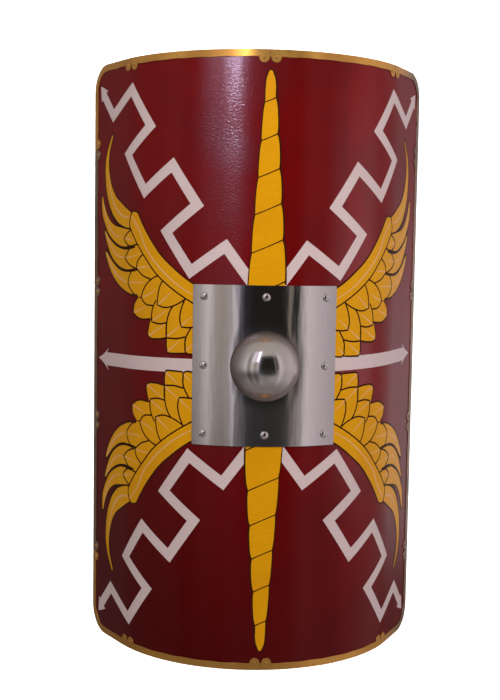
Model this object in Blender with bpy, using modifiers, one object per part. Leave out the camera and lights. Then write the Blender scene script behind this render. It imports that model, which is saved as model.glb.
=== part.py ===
"""A Roman legionary's curved rectangular shield (scutum), as a full-size replica is built.

A curved plywood board is edged with strips of brass channel, and a steel boss plate with a hollow
dome covers the hand hole in its middle. Eight rivets hold the plate, and the two at mid height
also hold a wooden grip bar across the back of the hole. Twenty-eight nails hold the edging.

The shield lies as it does when nobody holds it: on its two long edges, with its face up. +Z is up,
+Y points to the shield's top edge, +X is to the right of somebody who looks down on the face, and
the origin is below the middle of the board, in the plane that the long edges rest on.

Sheet pieces are made flat and then rolled, as the real ones are. In the flat, x is the distance
round the painted face from its middle line, y is the distance up the shield, and z is the height
above the painted face.
"""

import math

import bmesh
import bpy
from mathutils import Matrix, Vector

# Whole shield, in metres, over the brass edging
HEIGHT = 1.05
WIDTH_ROUND_FACE = 0.82
CORNER_RADIUS = 0.048

# Curve across the painted face: a round middle, then a straight run down to each long edge
FACE_RADIUS = 0.28
ARC_HALF_ANGLE = math.radians(60)
ARC_FACETS = 12
FACET_ANGLE = ARC_HALF_ANGLE / ARC_FACETS
FACET_WIDTH = FACE_RADIUS * FACET_ANGLE
ARC_HALF_LENGTH = FACE_RADIUS * ARC_HALF_ANGLE

# Thickness of each sheet, and the gap left between pieces that touch
BOARD_THICKNESS = 0.008
BRASS_THICKNESS = 0.001
STEEL_THICKNESS = 0.0015
GAP = 0.0003

# Brass edging: the width of its flanges, where its strips meet, and the lobes on their ends
FLANGE_WIDTH = 0.012
TOP_JOINT = 0.272
SIDE_JOINTS = (0.375, 0.125, -0.125, -0.375)
JOINT_HALF_GAP = 0.0003
LOBE_RADIUS = 0.0085
LOBE_FROM_EDGE = 0.013
LOBE_FROM_JOINT = 0.010
LOBE_SIDES = 10

# Nails in the lobes
NAIL_HEAD_RADIUS = 0.0030
NAIL_HEAD_HEIGHT = 0.0013
NAIL_SHANK_RADIUS = 0.0011
NAIL_TAIL_RADIUS = 0.0020
NAIL_TAIL_HEIGHT = 0.0007
NAIL_SIDES = 6

# Boss plate and its dome
PLATE_HALF_WIDTH = 0.1255
PLATE_HALF_HEIGHT = 0.1364
PLATE_CORNER_RADIUS = 0.002
DOME_RADIUS = 0.058
DOME_HEIGHT = 0.054
DOME_POWER = 2.4
DOME_SKIRT = 0.016
DOME_SEGMENTS = 24
DOME_RINGS = 5

# Rivets through the plate
RIVET_ACROSS = 0.1058
RIVET_UP = 0.1165
RIVET_HEAD_RADIUS = 0.0070
RIVET_HEAD_HEIGHT = 0.0040
RIVET_HEAD_EDGE = 0.0008
RIVET_SHANK_RADIUS = 0.0025
RIVET_TAIL_RADIUS = 0.0045
RIVET_TAIL_HEIGHT = 0.0018
RIVET_SIDES = 8
RIVET_HEAD_STEPS = 3

# Hand hole and grip bar
HAND_HOLE_RADIUS = 0.056
HAND_HOLE_SIDES = 16
GRIP_WIDTH = 0.032
GRIP_DEPTH = 0.024
GRIP_PAD_THICKNESS = 0.014
GRIP_PAD_START = 3
GRIP_PAD_END = 6
GRIP_SHOULDER = 0.070
GRIP_BEVEL = 0.004

# Heights above the painted face, in the flat
EDGING_TOP = GAP + BRASS_THICKNESS
EDGING_BOTTOM = -(BOARD_THICKNESS + GAP + BRASS_THICKNESS)
PLATE_BOTTOM = GAP
PLATE_TOP = GAP + STEEL_THICKNESS
BOARD_BACK = -BOARD_THICKNESS
GRIP_SEAT = BOARD_BACK - GAP

# Cutters: how far one reaches past what it cuts, and how deep a slice of edging is taken inwards
OVERSHOOT = 0.02
SLICE_DEPTH = 0.06

# Meshing: steps round a corner, and when faces count as flat, points as one, and edges as sharp
CORNER_STEPS = 4
FLAT_ANGLE = math.radians(0.5)
WELD_DISTANCE = 0.000002
SHARP_ANGLE = math.radians(30)
BEVEL_ANGLE = math.radians(60)


def section_point(along, height, centre_height):
    """Where a point of the flat sheet lies across the rolled shield, as (x, z).

    Facet lines lie on the true curve, and the sheet is flat between one and the next.
    """
    side = -1.0 if along < 0 else 1.0
    distance = abs(along)
    if distance >= ARC_HALF_LENGTH:
        past = distance - ARC_HALF_LENGTH
        radius = FACE_RADIUS + height
        x = radius * math.sin(ARC_HALF_ANGLE) + past * math.cos(ARC_HALF_ANGLE)
        z = radius * math.cos(ARC_HALF_ANGLE) - past * math.sin(ARC_HALF_ANGLE)
        return side * x, centre_height + z
    facet = min(int(distance / FACET_WIDTH), ARC_FACETS - 1)
    share = distance / FACET_WIDTH - facet
    radius = FACE_RADIUS + height
    x = z = 0.0
    for line, weight in ((facet, 1 - share), (facet + 1, share)):
        x += weight * radius * math.sin(line * FACET_ANGLE)
        z += weight * radius * math.cos(line * FACET_ANGLE)
    return side * x, centre_height + z


# The lowest points are the inner corners of the edging on the two long edges, and rest at z = 0.
CURVE_CENTRE_HEIGHT = -section_point(WIDTH_ROUND_FACE / 2, EDGING_BOTTOM, 0.0)[1]


def rolled(point):
    """The place on the rolled shield of a point of the flat sheet."""
    x, z = section_point(point.x, point.z, CURVE_CENTRE_HEIGHT)
    return Vector((x, point.y, z))


def tilt_at(along):
    """The angle that the face's normal leans from +Z towards +X at a distance round the face."""
    return max(-ARC_HALF_ANGLE, min(ARC_HALF_ANGLE, along / FACE_RADIUS))


def clear_scene():
    for item in list(bpy.data.objects):
        bpy.data.objects.remove(item, do_unlink=True)


def make_collection(name):
    collection = bpy.data.collections.new(name)
    bpy.context.scene.collection.children.link(collection)
    return collection


def make_material(name, colour, roughness, metallic):
    material = bpy.data.materials.new(name)
    material.use_nodes = True
    shader = material.node_tree.nodes["Principled BSDF"]
    shader.inputs["Base Color"].default_value = (*colour, 1.0)
    shader.inputs["Roughness"].default_value = roughness
    shader.inputs["Metallic"].default_value = metallic
    material.diffuse_color = (*colour, 1.0)
    return material


def add_object(name, data):
    item = bpy.data.objects.new(name, data)
    SHIELD.objects.link(item)
    return item


def fixed_mesh(item):
    """The object's mesh with its modifiers and its place worked in, its seams closed and its
    flat faces each made one.
    """
    bpy.context.view_layer.update()
    graph = bpy.context.evaluated_depsgraph_get()
    mesh = bpy.data.meshes.new_from_object(item.evaluated_get(graph))
    mesh.transform(item.matrix_world)
    shape = bmesh.new()
    shape.from_mesh(mesh)
    bmesh.ops.remove_doubles(shape, verts=shape.verts, dist=WELD_DISTANCE)
    bmesh.ops.dissolve_limit(shape, angle_limit=FLAT_ANGLE, verts=shape.verts, edges=shape.edges)
    bmesh.ops.recalc_face_normals(shape, faces=shape.faces)
    shape.to_mesh(mesh)
    shape.free()
    return mesh


def rounded_rectangle(half_width, half_height, radius):
    """The corner points of a rectangle with round corners, anticlockwise."""
    points = []
    for corner, (across, up) in enumerate(((1, 1), (-1, 1), (-1, -1), (1, -1))):
        for step in range(CORNER_STEPS + 1):
            angle = math.radians(90) * (corner + step / CORNER_STEPS)
            x = across * (half_width - radius) + radius * math.cos(angle)
            y = up * (half_height - radius) + radius * math.sin(angle)
            points.append((x, y))
    return points


def flat_plate(name, outline, bottom, top):
    """A flat plate with an outline in x and y, between two heights."""
    curve = bpy.data.curves.new(name, "CURVE")
    curve.dimensions = "2D"
    curve.fill_mode = "BOTH"
    curve.extrude = (top - bottom) / 2
    spline = curve.splines.new("POLY")
    spline.points.add(len(outline) - 1)
    spline.use_cyclic_u = True
    for point, (x, y) in zip(spline.points, outline):
        point.co = (x, y, 0.0, 1.0)
    drawn = add_object(name + "_outline", curve)
    drawn.location.z = (top + bottom) / 2
    plate = add_object(name, fixed_mesh(drawn))
    bpy.data.objects.remove(drawn)
    bpy.data.curves.remove(curve)
    return plate


def flat_box(name, left, right, low, high, bottom, top):
    outline = ((left, low), (right, low), (right, high), (left, high))
    return flat_plate(name, outline, bottom, top)


def combine(body, tool, operation):
    """Cut a tool out of a body, join it to the body, or keep what they share."""
    boolean = body.modifiers.new(operation.lower(), "BOOLEAN")
    boolean.operation = operation
    boolean.solver = "EXACT"
    boolean.object = tool
    mesh = fixed_mesh(body)
    body.modifiers.clear()
    body.data = mesh
    bpy.data.objects.remove(tool)


def round_posts(name, points, radius, sides, bottom, top):
    """Upright posts at points of the flat sheet, to join on or to drill with."""
    shape = bmesh.new()
    for x, y in points:
        bmesh.ops.create_cone(
            shape,
            cap_ends=True,
            segments=sides,
            radius1=radius,
            radius2=radius,
            depth=top - bottom,
            matrix=Matrix.Translation((x, y, (top + bottom) / 2)),
        )
    mesh = bpy.data.meshes.new(name)
    shape.to_mesh(mesh)
    shape.free()
    return add_object(name, mesh)


def drill(body, points, radius, sides):
    holes = round_posts("holes", points, radius, sides, EDGING_BOTTOM - OVERSHOOT, OVERSHOOT)
    combine(body, holes, "DIFFERENCE")


def roll(body):
    """Roll a flat piece to the shield's curve, with a crease at each facet line."""
    shape = bmesh.new()
    shape.from_mesh(body.data)
    for line in range(-ARC_FACETS, ARC_FACETS + 1):
        bmesh.ops.bisect_plane(
            shape,
            geom=shape.verts[:] + shape.edges[:] + shape.faces[:],
            dist=WELD_DISTANCE,
            plane_co=(line * FACET_WIDTH, 0, 0),
            plane_no=(1, 0, 0),
        )
    for vertex in shape.verts:
        vertex.co = rolled(vertex.co)
    bmesh.ops.triangulate(shape, faces=shape.faces)
    shape.to_mesh(body.data)
    shape.free()


def finish(body, material):
    body.data.materials.clear()
    body.data.materials.append(material)
    body.data.shade_smooth()
    body.data.set_sharp_from_angle(angle=SHARP_ANGLE)


def spun(name, profile, sides, along, up):
    """A solid that stands on the painted face, from a profile of (radius, height)."""
    mesh = bpy.data.meshes.new(name)
    corners = [(radius, 0.0, height) for radius, height in profile]
    edges = [(index, index + 1) for index in range(len(profile) - 1)]
    mesh.from_pydata(corners, edges, [])
    outline = add_object(name + "_profile", mesh)
    screw = outline.modifiers.new("turn", "SCREW")
    screw.axis = "Z"
    screw.steps = sides
    screw.render_steps = sides
    screw.use_merge_vertices = True
    screw.merge_threshold = 0.00001
    x, z = section_point(along, 0.0, CURVE_CENTRE_HEIGHT)
    outline.location = (x, up, z)
    outline.rotation_euler.y = tilt_at(along)
    body = add_object(name, fixed_mesh(outline))
    bpy.data.objects.remove(outline)
    return body


def rivet_places():
    """Each rivet's name, and its place on the flat sheet."""
    places = {}
    for row, up in (("top", RIVET_UP), ("middle", 0.0), ("bottom", -RIVET_UP)):
        for column, across in (("left", -RIVET_ACROSS), ("centre", 0.0), ("right", RIVET_ACROSS)):
            if (row, column) != ("middle", "centre"):
                places["rivet_" + row + "_" + column] = (across, up)
    return places


def edging_strips():
    """Each strip of edging: its name, its part of the flat sheet and its two lobes.

    The part is (left, right, low, high). It reaches past the shield on the outer side.
    """
    half_width = WIDTH_ROUND_FACE / 2
    half_height = HEIGHT / 2
    lobe_across = half_width - LOBE_FROM_EDGE
    lobe_up = half_height - LOBE_FROM_EDGE
    edge_across = half_width + OVERSHOOT
    edge_up = half_height + OVERSHOOT
    strips = []
    for end, up in (("top", 1), ("bottom", -1)):
        for side, across in (("left", -1), ("right", 1)):
            near, far = JOINT_HALF_GAP, TOP_JOINT - JOINT_HALF_GAP
            reach = sorted((across * near, across * far))
            rise = sorted((up * (half_height - SLICE_DEPTH), up * edge_up))
            lobes = [
                (across * LOBE_FROM_JOINT, up * lobe_up),
                (across * (TOP_JOINT - LOBE_FROM_JOINT), up * lobe_up),
            ]
            strips.append(("edging_" + end + "_" + side, (*reach, *rise), lobes))

            reach = sorted((across * (TOP_JOINT + JOINT_HALF_GAP), across * edge_across))
            joint = SIDE_JOINTS[0]
            rise = sorted((up * (joint + JOINT_HALF_GAP), up * edge_up))
            lobes = [
                (across * (TOP_JOINT + LOBE_FROM_JOINT), up * lobe_up),
                (across * lobe_across, up * (joint + LOBE_FROM_JOINT)),
            ]
            strips.append(("edging_corner_" + end + "_" + side, (*reach, *rise), lobes))
    for side, across in (("left", -1), ("right", 1)):
        reach = sorted((across * (half_width - SLICE_DEPTH), across * edge_across))
        spans = zip(("upper", "middle", "lower"), SIDE_JOINTS, SIDE_JOINTS[1:])
        for part, high, low in spans:
            rise = (low + JOINT_HALF_GAP, high - JOINT_HALF_GAP)
            lobes = [
                (across * lobe_across, high - LOBE_FROM_JOINT),
                (across * lobe_across, low + LOBE_FROM_JOINT),
            ]
            strips.append(("edging_" + side + "_" + part, (*reach, *rise), lobes))
    return strips


def outline_within(inset):
    """The shield's outline in the flat, moved inwards by a distance."""
    radius = CORNER_RADIUS - inset
    return rounded_rectangle(WIDTH_ROUND_FACE / 2 - inset, HEIGHT / 2 - inset, radius)


def make_board(nail_places):
    board = flat_plate("board", outline_within(BRASS_THICKNESS + GAP), BOARD_BACK, 0.0)
    drill(board, [(0.0, 0.0)], HAND_HOLE_RADIUS, HAND_HOLE_SIDES)
    drill(board, rivet_places().values(), RIVET_SHANK_RADIUS + GAP, RIVET_SIDES)
    drill(board, nail_places, NAIL_SHANK_RADIUS + GAP, NAIL_SIDES)
    roll(board)
    finish(board, RED_PAINT)


def make_edging_strip(name, part, lobes):
    """One strip: a slice of a solid rim with its lobes, hollowed to a channel, then rolled."""
    strip = flat_plate(name, outline_within(0.0), EDGING_BOTTOM, EDGING_TOP)
    low, high = EDGING_BOTTOM - OVERSHOOT, EDGING_TOP + OVERSHOOT
    combine(strip, flat_box("slice", *part, low, high), "INTERSECT")
    combine(strip, flat_plate("window", outline_within(FLANGE_WIDTH), low, high), "DIFFERENCE")
    lobe_posts = round_posts("lobes", lobes, LOBE_RADIUS, LOBE_SIDES, EDGING_BOTTOM, EDGING_TOP)
    combine(strip, lobe_posts, "UNION")
    seat = flat_plate("seat", outline_within(BRASS_THICKNESS), BOARD_BACK - GAP, GAP)
    combine(strip, seat, "DIFFERENCE")
    drill(strip, lobes, NAIL_SHANK_RADIUS + GAP, NAIL_SIDES)
    roll(strip)
    finish(strip, BRASS)


def dome_form(name, radius, height):
    """A solid dome on the middle of the plate: a little flatter on top than a ball, with a
    straight skirt below.
    """
    profile = []
    for ring in range(DOME_RINGS + 1):
        angle = math.radians(90) * ring / DOME_RINGS
        out = radius * math.sin(angle) ** (2 / DOME_POWER)
        profile.append((out, PLATE_TOP + height * math.cos(angle)))
    profile += [(radius, PLATE_TOP - DOME_SKIRT), (0.0, PLATE_TOP - DOME_SKIRT)]
    return spun(name, profile, DOME_SEGMENTS, 0.0, 0.0)


def make_boss_plate():
    """The steel plate, rolled, with the dome raised in it and the dome's hollow behind."""
    outline = rounded_rectangle(PLATE_HALF_WIDTH, PLATE_HALF_HEIGHT, PLATE_CORNER_RADIUS)
    plate = flat_plate("boss_plate", outline, PLATE_BOTTOM, PLATE_TOP)
    drill(plate, rivet_places().values(), RIVET_SHANK_RADIUS + GAP, RIVET_SIDES)
    roll(plate)

    dome = dome_form("dome", DOME_RADIUS, DOME_HEIGHT)
    reach = DOME_RADIUS + OVERSHOOT
    middle = (PLATE_BOTTOM + PLATE_TOP) / 2
    under = flat_box("under_plate", -reach, reach, -reach, reach, -2 * reach, middle)
    roll(under)
    combine(dome, under, "DIFFERENCE")
    combine(plate, dome, "UNION")
    hollow = dome_form("hollow", DOME_RADIUS - STEEL_THICKNESS, DOME_HEIGHT - STEEL_THICKNESS)
    combine(plate, hollow, "DIFFERENCE")
    finish(plate, STEEL)


def grip_outline():
    """The grip seen from the shield's foot, as points in x and z, on its right half.

    Its pads lie along the back of the board, and its rear steps down to the hand bar between them.
    """
    pad_lines = range(GRIP_PAD_START, GRIP_PAD_END + 1)
    front = [section_point(line * FACET_WIDTH, GRIP_SEAT, CURVE_CENTRE_HEIGHT) for line in pad_lines]
    lean = tilt_at(RIVET_ACROSS)
    seat_x, seat_z = section_point(RIVET_ACROSS, GRIP_SEAT - GRIP_PAD_THICKNESS, CURVE_CENTRE_HEIGHT)

    def pad_rear(x):
        return x, seat_z - (x - seat_x) * math.tan(lean)

    end_x = front[-1][0] - GRIP_PAD_THICKNESS * math.sin(lean) / 2
    bar_rear = front[0][1] - GRIP_DEPTH
    shoulder = GRIP_SHOULDER + GRIP_DEPTH / 2
    return [*front, pad_rear(end_x), pad_rear(shoulder), (GRIP_SHOULDER, bar_rear)]


def make_grip():
    right = grip_outline()
    left = [(-x, z) for x, z in reversed(right)]
    grip = flat_plate("grip", right + left, -GRIP_WIDTH / 2, GRIP_WIDTH / 2)
    grip.data.transform(Matrix.Rotation(math.radians(90), 4, "X"))
    bevel = grip.modifiers.new("round_edges", "BEVEL")
    bevel.width = GRIP_BEVEL
    bevel.segments = 2
    bevel.limit_method = "ANGLE"
    bevel.angle_limit = BEVEL_ANGLE
    shape = fixed_mesh(grip)
    grip.modifiers.clear()
    grip.data = shape
    for across in (-RIVET_ACROSS, RIVET_ACROSS):
        x, z = section_point(across, 0.0, CURVE_CENTRE_HEIGHT)
        bpy.ops.mesh.primitive_cylinder_add(
            vertices=RIVET_SIDES,
            radius=RIVET_SHANK_RADIUS + GAP,
            depth=2 * (GRIP_DEPTH + OVERSHOOT),
            location=(x, 0.0, z),
            rotation=(0.0, tilt_at(across), 0.0),
        )
        combine(grip, bpy.context.object, "DIFFERENCE")
    finish(grip, WOOD)


def make_rivets():
    for name, (across, up) in rivet_places().items():
        under_head = PLATE_TOP + GAP
        tail = BOARD_BACK - GAP
        if up == 0.0:
            tail = GRIP_SEAT - GRIP_PAD_THICKNESS - GAP
        edge = under_head + RIVET_HEAD_EDGE
        rise = RIVET_HEAD_HEIGHT - RIVET_HEAD_EDGE
        dome = []
        for step in range(RIVET_HEAD_STEPS):
            angle = math.radians(90) * step / RIVET_HEAD_STEPS
            dome.append((RIVET_HEAD_RADIUS * math.sin(angle), edge + rise * math.cos(angle)))
        profile = [
            *dome,
            (RIVET_HEAD_RADIUS, edge),
            (RIVET_HEAD_RADIUS, under_head),
            (RIVET_SHANK_RADIUS, under_head),
            (RIVET_SHANK_RADIUS, tail),
            (RIVET_TAIL_RADIUS, tail),
            (0.0, tail - RIVET_TAIL_HEIGHT),
        ]
        finish(spun(name, profile, RIVET_SIDES, across, up), STEEL)


def make_nails(places):
    under_head = EDGING_TOP + GAP
    tail = EDGING_BOTTOM - GAP
    profile = [
        (0.0, under_head + NAIL_HEAD_HEIGHT),
        (NAIL_HEAD_RADIUS, under_head),
        (NAIL_SHANK_RADIUS, under_head),
        (NAIL_SHANK_RADIUS, tail),
        (NAIL_TAIL_RADIUS, tail),
        (0.0, tail - NAIL_TAIL_HEIGHT),
    ]
    for number, (across, up) in enumerate(places, start=1):
        finish(spun("edging_nail_%02d" % number, profile, NAIL_SIDES, across, up), BRASS)


clear_scene()
SHIELD = make_collection("scutum")
RED_PAINT = make_material("red_paint", (0.20, 0.008, 0.012), 0.2, 0.0)
BRASS = make_material("brass", (0.60, 0.40, 0.14), 0.35, 1.0)
STEEL = make_material("polished_steel", (0.62, 0.60, 0.58), 0.12, 1.0)
WOOD = make_material("wood", (0.38, 0.22, 0.11), 0.55, 0.0)

STRIPS = edging_strips()
NAIL_PLACES = [lobe for _, _, lobes in STRIPS for lobe in lobes]

make_board(NAIL_PLACES)
for strip_name, strip_part, strip_lobes in STRIPS:
    make_edging_strip(strip_name, strip_part, strip_lobes)
make_boss_plate()
make_grip()
make_rivets()
make_nails(NAIL_PLACES)
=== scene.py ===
# %% [markdown]
# # A legionary's shield, painted and polished
#
# The frame is a plain engineering model of a Roman scutum: a curved board, strips of brass edging,
# a steel boss plate, rivets, nails and a grip bar. It has the right sizes and no finish. This
# lesson builds the finished pieces around it: a lacquered face with its painted thunderbolts and
# wings, wavy brass channel, polished steel and a hand-shaped wooden grip.
#
# The frame is loaded first. Its size is kept, because the finished shield has to fit in it.

import math

import bpy
from mathutils import Matrix, Vector


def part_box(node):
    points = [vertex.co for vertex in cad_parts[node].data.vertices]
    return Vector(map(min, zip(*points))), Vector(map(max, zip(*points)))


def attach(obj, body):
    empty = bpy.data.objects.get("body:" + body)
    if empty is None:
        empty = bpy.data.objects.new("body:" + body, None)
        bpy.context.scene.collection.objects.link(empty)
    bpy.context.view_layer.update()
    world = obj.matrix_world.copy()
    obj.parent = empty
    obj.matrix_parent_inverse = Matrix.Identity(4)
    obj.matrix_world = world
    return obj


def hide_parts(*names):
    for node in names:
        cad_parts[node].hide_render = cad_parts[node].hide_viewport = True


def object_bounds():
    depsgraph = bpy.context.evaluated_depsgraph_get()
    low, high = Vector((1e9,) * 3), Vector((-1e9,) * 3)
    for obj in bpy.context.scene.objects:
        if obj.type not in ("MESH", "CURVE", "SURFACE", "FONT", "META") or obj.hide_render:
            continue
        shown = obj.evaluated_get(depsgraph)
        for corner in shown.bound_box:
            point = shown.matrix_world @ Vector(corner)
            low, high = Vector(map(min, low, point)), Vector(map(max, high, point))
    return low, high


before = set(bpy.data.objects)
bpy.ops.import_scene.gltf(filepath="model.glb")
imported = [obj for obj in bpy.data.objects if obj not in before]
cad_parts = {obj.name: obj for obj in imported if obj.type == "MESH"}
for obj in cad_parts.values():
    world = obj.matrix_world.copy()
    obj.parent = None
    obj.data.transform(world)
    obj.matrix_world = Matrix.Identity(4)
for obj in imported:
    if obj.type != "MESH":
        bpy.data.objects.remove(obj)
cad_low, cad_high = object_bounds()
print("frame:", len(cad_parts), "nodes,", [round(v, 4) for v in cad_high - cad_low], "m")

# %% [markdown]
# A real board like this is glued up from flat sheets in a curved press. The same order works in
# Blender: every sheet piece and every brush stroke is drawn flat on the floor, where shapes are
# easy to lay out, and is rolled to the curve at the end.
#
# In the flat, x is the distance round the painted face from its middle line, y is the distance up
# the shield, and z is the height above the painted face. Across the shield, the face is an arc and
# then a straight run to each long edge. The arc's highest line is the top of the frame's board.

# %% Measure the curve of the face
MM = 0.001
HALF_HEIGHT = cad_high.y
FACE_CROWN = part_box("board")[1].z
FACE_RADIUS = 280 * MM
ARC_HALF_ANGLE = math.radians(60)
FACE_HALF_LENGTH = 410 * MM
BOARD_THICKNESS = 8 * MM
ARC_CENTRE = FACE_CROWN - FACE_RADIUS


def face_angle(along):
    """How far the face leans from level at a distance round it."""
    return max(-ARC_HALF_ANGLE, min(ARC_HALF_ANGLE, along / FACE_RADIUS))


def face_point(along):
    """The x and z of the painted face at a distance round it."""
    angle = face_angle(along)
    past = along - angle * FACE_RADIUS
    x = FACE_RADIUS * math.sin(angle) + past * math.cos(angle)
    z = ARC_CENTRE + FACE_RADIUS * math.cos(angle) - past * math.sin(angle)
    return x, z


print("long edge at x, z:", [round(v, 4) for v in face_point(FACE_HALF_LENGTH)])

# %% [markdown]
# ## Camera
#
# The shield lies face up, and the camera looks down on it from nearly two metres, a little to its
# left and towards its top edge. A lens of about 59 mm keeps the long sides nearly parallel. The
# camera is turned by a matrix whose columns are its right, its up and its back.

# %% Place the camera
CAMERA_PLACE = Vector((-0.16293, 0.18809, FACE_CROWN + 1.91383))
CAMERA_LOOK = Vector((0.07099, -0.08327, -0.99400)).normalized()
CAMERA_UP = Vector((-0.01013, 0.99640, -0.08419)).normalized()
LENS_LENGTH = 58.93
FARTHEST_SEEN = 50


def put_in_scene(name, data):
    """Makes an object of some data and puts it in the scene."""
    made = bpy.data.objects.new(name, data)
    bpy.context.scene.collection.objects.link(made)
    return made


lens = bpy.data.cameras.new("camera")
lens.lens = LENS_LENGTH
lens.clip_end = FARTHEST_SEEN
camera = put_in_scene("camera", lens)
camera_right = CAMERA_LOOK.cross(CAMERA_UP).normalized()
turn = Matrix((camera_right, camera_right.cross(CAMERA_LOOK), -CAMERA_LOOK)).transposed()
camera.matrix_world = Matrix.Translation(CAMERA_PLACE) @ turn.to_4x4()
bpy.context.scene.camera = camera
print("camera at", [round(v, 3) for v in camera.location])

# %% [markdown]
# ## Room and light
#
# Polished steel shows the room more than itself, so the room is drawn with care. It is a softly
# lit studio: pale walls to the left and right, and a dark strip of ceiling overhead with a faint
# slit of light in it. The world shader makes it from two numbers. One is the angle round the
# shield's long axis, which a colour ramp turns into walls or ceiling. The other is the height
# along that axis. It says where the ceiling ends, where the room darkens toward its foot, and how
# bright the wall on the far right is. The camera itself sees a white backdrop.

# %% Helpers for nodes
def add_node(tree, kind, **inputs):
    """Adds a node and sets its named input values."""
    node = tree.nodes.new(kind)
    for name, value in inputs.items():
        node.inputs[name.replace("_", " ")].default_value = value
    return node


def feed(tree, value, socket):
    """Gives an input socket a number or a colour, or links another node's output to it."""
    if isinstance(value, bpy.types.NodeSocket):
        tree.links.new(value, socket)
    else:
        socket.default_value = value


def add_axes(tree, kind, output):
    """Adds a node that tells a place or a direction, and splits that into X, Y and Z."""
    teller = tree.nodes.new(kind)
    parts = tree.nodes.new("ShaderNodeSeparateXYZ")
    tree.links.new(teller.outputs[output], parts.inputs[0])
    return parts.outputs


def add_math(tree, operation, *values):
    """Adds a Math node. Each value is a number or another node's output."""
    node = tree.nodes.new("ShaderNodeMath")
    node.operation = operation
    for value, socket in zip(values, node.inputs):
        feed(tree, value, socket)
    return node.outputs[0]


def add_fade(tree, value, low, high, low_result=0.0, high_result=1.0):
    """Adds a smooth step of a value between two limits."""
    node = tree.nodes.new("ShaderNodeMapRange")
    node.interpolation_type = "SMOOTHSTEP"
    limits = {"From Min": low, "From Max": high, "To Min": low_result, "To Max": high_result}
    for name, limit in limits.items():
        node.inputs[name].default_value = limit
    tree.links.new(value, node.inputs["Value"])
    return node.outputs["Result"]


def add_mix(tree, share, first, second):
    """Mixes two colours. The share and the colours are values or other nodes' outputs."""
    node = tree.nodes.new("ShaderNodeMix")
    node.data_type = "RGBA"
    for value, number in ((share, 0), (first, 6), (second, 7)):
        feed(tree, value, node.inputs[number])
    return node.outputs[2]


print("node helpers ready")

# %% Choose the colours of the room
# Each stop is (degrees round the shield's long axis, red, green, blue), from straight up.
WALLS = (
    (-180, 0.14, 0.12, 0.12),
    (-120, 0.30, 0.26, 0.25),
    (-90, 0.42, 0.40, 0.40),
    (-64, 0.76, 0.73, 0.74),
    (-56, 0.30, 0.27, 0.26),
    (-44.5, 0.52, 0.48, 0.47),
    (-38.5, 0.84, 0.77, 0.76),
    (-33, 0.50, 0.46, 0.43),
    (-27, 0.44, 0.38, 0.35),
    (-21, 0.52, 0.48, 0.48),
    (-17.5, 0.86, 0.84, 0.90),
    (0, 0.50, 0.46, 0.45),
    (31, 0.46, 0.42, 0.43),
    (36, 0.84, 0.75, 0.79),
    (46, 0.68, 0.60, 0.64),
    (58, 0.56, 0.50, 0.53),
    (90, 0.70, 0.63, 0.66),
)
# These stops are heights along the axis.
RIGHT_WALL = (
    (-0.45, 0.12, 0.10, 0.10),
    (-0.275, 0.14, 0.12, 0.12),
    (-0.245, 0.60, 0.52, 0.53),
    (-0.20, 0.86, 0.76, 0.79),
    (-0.08, 0.86, 0.77, 0.83),
    (0.00, 0.70, 0.60, 0.65),
    (0.05, 0.46, 0.40, 0.43),
    (0.60, 0.52, 0.46, 0.48),
)
# The ceiling's stops are degrees again, and so are those of the light that is lost at the foot.
CEILING = (
    (-18, 0.76, 0.74, 0.80),
    (-14.5, 0.17, 0.17, 0.21),
    (-10.5, 0.036, 0.036, 0.044),
    (-5, 0.020, 0.018, 0.018),
    (17, 0.020, 0.018, 0.018),
    (19.5, 0.030, 0.028, 0.028),
    (21.5, 0.30, 0.26, 0.22),
    (23.5, 0.25, 0.22, 0.19),
    (25, 0.030, 0.028, 0.028),
    (28, 0.030, 0.028, 0.028),
    (31.5, 0.46, 0.42, 0.43),
)
LOW_CEILING = (
    (-18, 0.36, 0.33, 0.33),
    (-13, 0.20, 0.19, 0.20),
    (-8.5, 0.085, 0.080, 0.090),
    (-4, 0.056, 0.054, 0.058),
    (9, 0.046, 0.043, 0.043),
    (18, 0.058, 0.053, 0.053),
    (22.5, 0.11, 0.10, 0.10),
    (27.5, 0.34, 0.30, 0.30),
    (31.5, 0.46, 0.42, 0.43),
)
FOOT_LOSS = (
    (-180, 0.10, 0.10, 0.10),
    (-110, 0.50, 0.50, 0.50),
    (-60, 0.75, 0.75, 0.75),
    (-20, 0.75, 0.75, 0.75),
    (20, 0.15, 0.15, 0.15),
    (90, 0.15, 0.15, 0.15),
    (120, 0.00, 0.00, 0.00),
)
FAR_WALL = (0.56, 0.51, 0.48, 1)
NEAR_WALL = (0.26, 0.23, 0.22, 1)
print("room:", len(WALLS), "stops round the walls and", len(CEILING), "across the ceiling")

# %% Build the room
# Where one part of the room gives way to the next, as heights along the shield's long axis.
NEAR_WALL_ENDS = (-0.90, -0.40)
CEILING_STARTS = (-0.40, -0.18)
HIGH_CEILING_STARTS = (-0.14, -0.07)
CEILING_ENDS = (0.45, 0.58)
FAR_WALL_STARTS = (0.30, 0.85)
FOOT_ENDS = (-0.34, -0.02)
# The next two are angles round that axis.
RIGHT_WALL_STARTS = (math.radians(95), math.radians(128))
CEILING_EDGE_WIDTH = math.radians(0.5)


def add_ramp(tree, value, stops, span=360):
    """Turns a place on a scale into a colour. Each stop is (place, red, green, blue)."""
    ramp = tree.nodes.new("ShaderNodeValToRGB")
    elements = ramp.color_ramp.elements
    elements.remove(elements[-1])
    for index, (place, *colour) in enumerate(stops):
        position = place / span + 0.5
        element = elements.new(position) if index else elements[0]
        element.position = position
        element.color = (*colour, 1)
    tree.links.new(value, ramp.inputs[0])
    return ramp.outputs[0]


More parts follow.
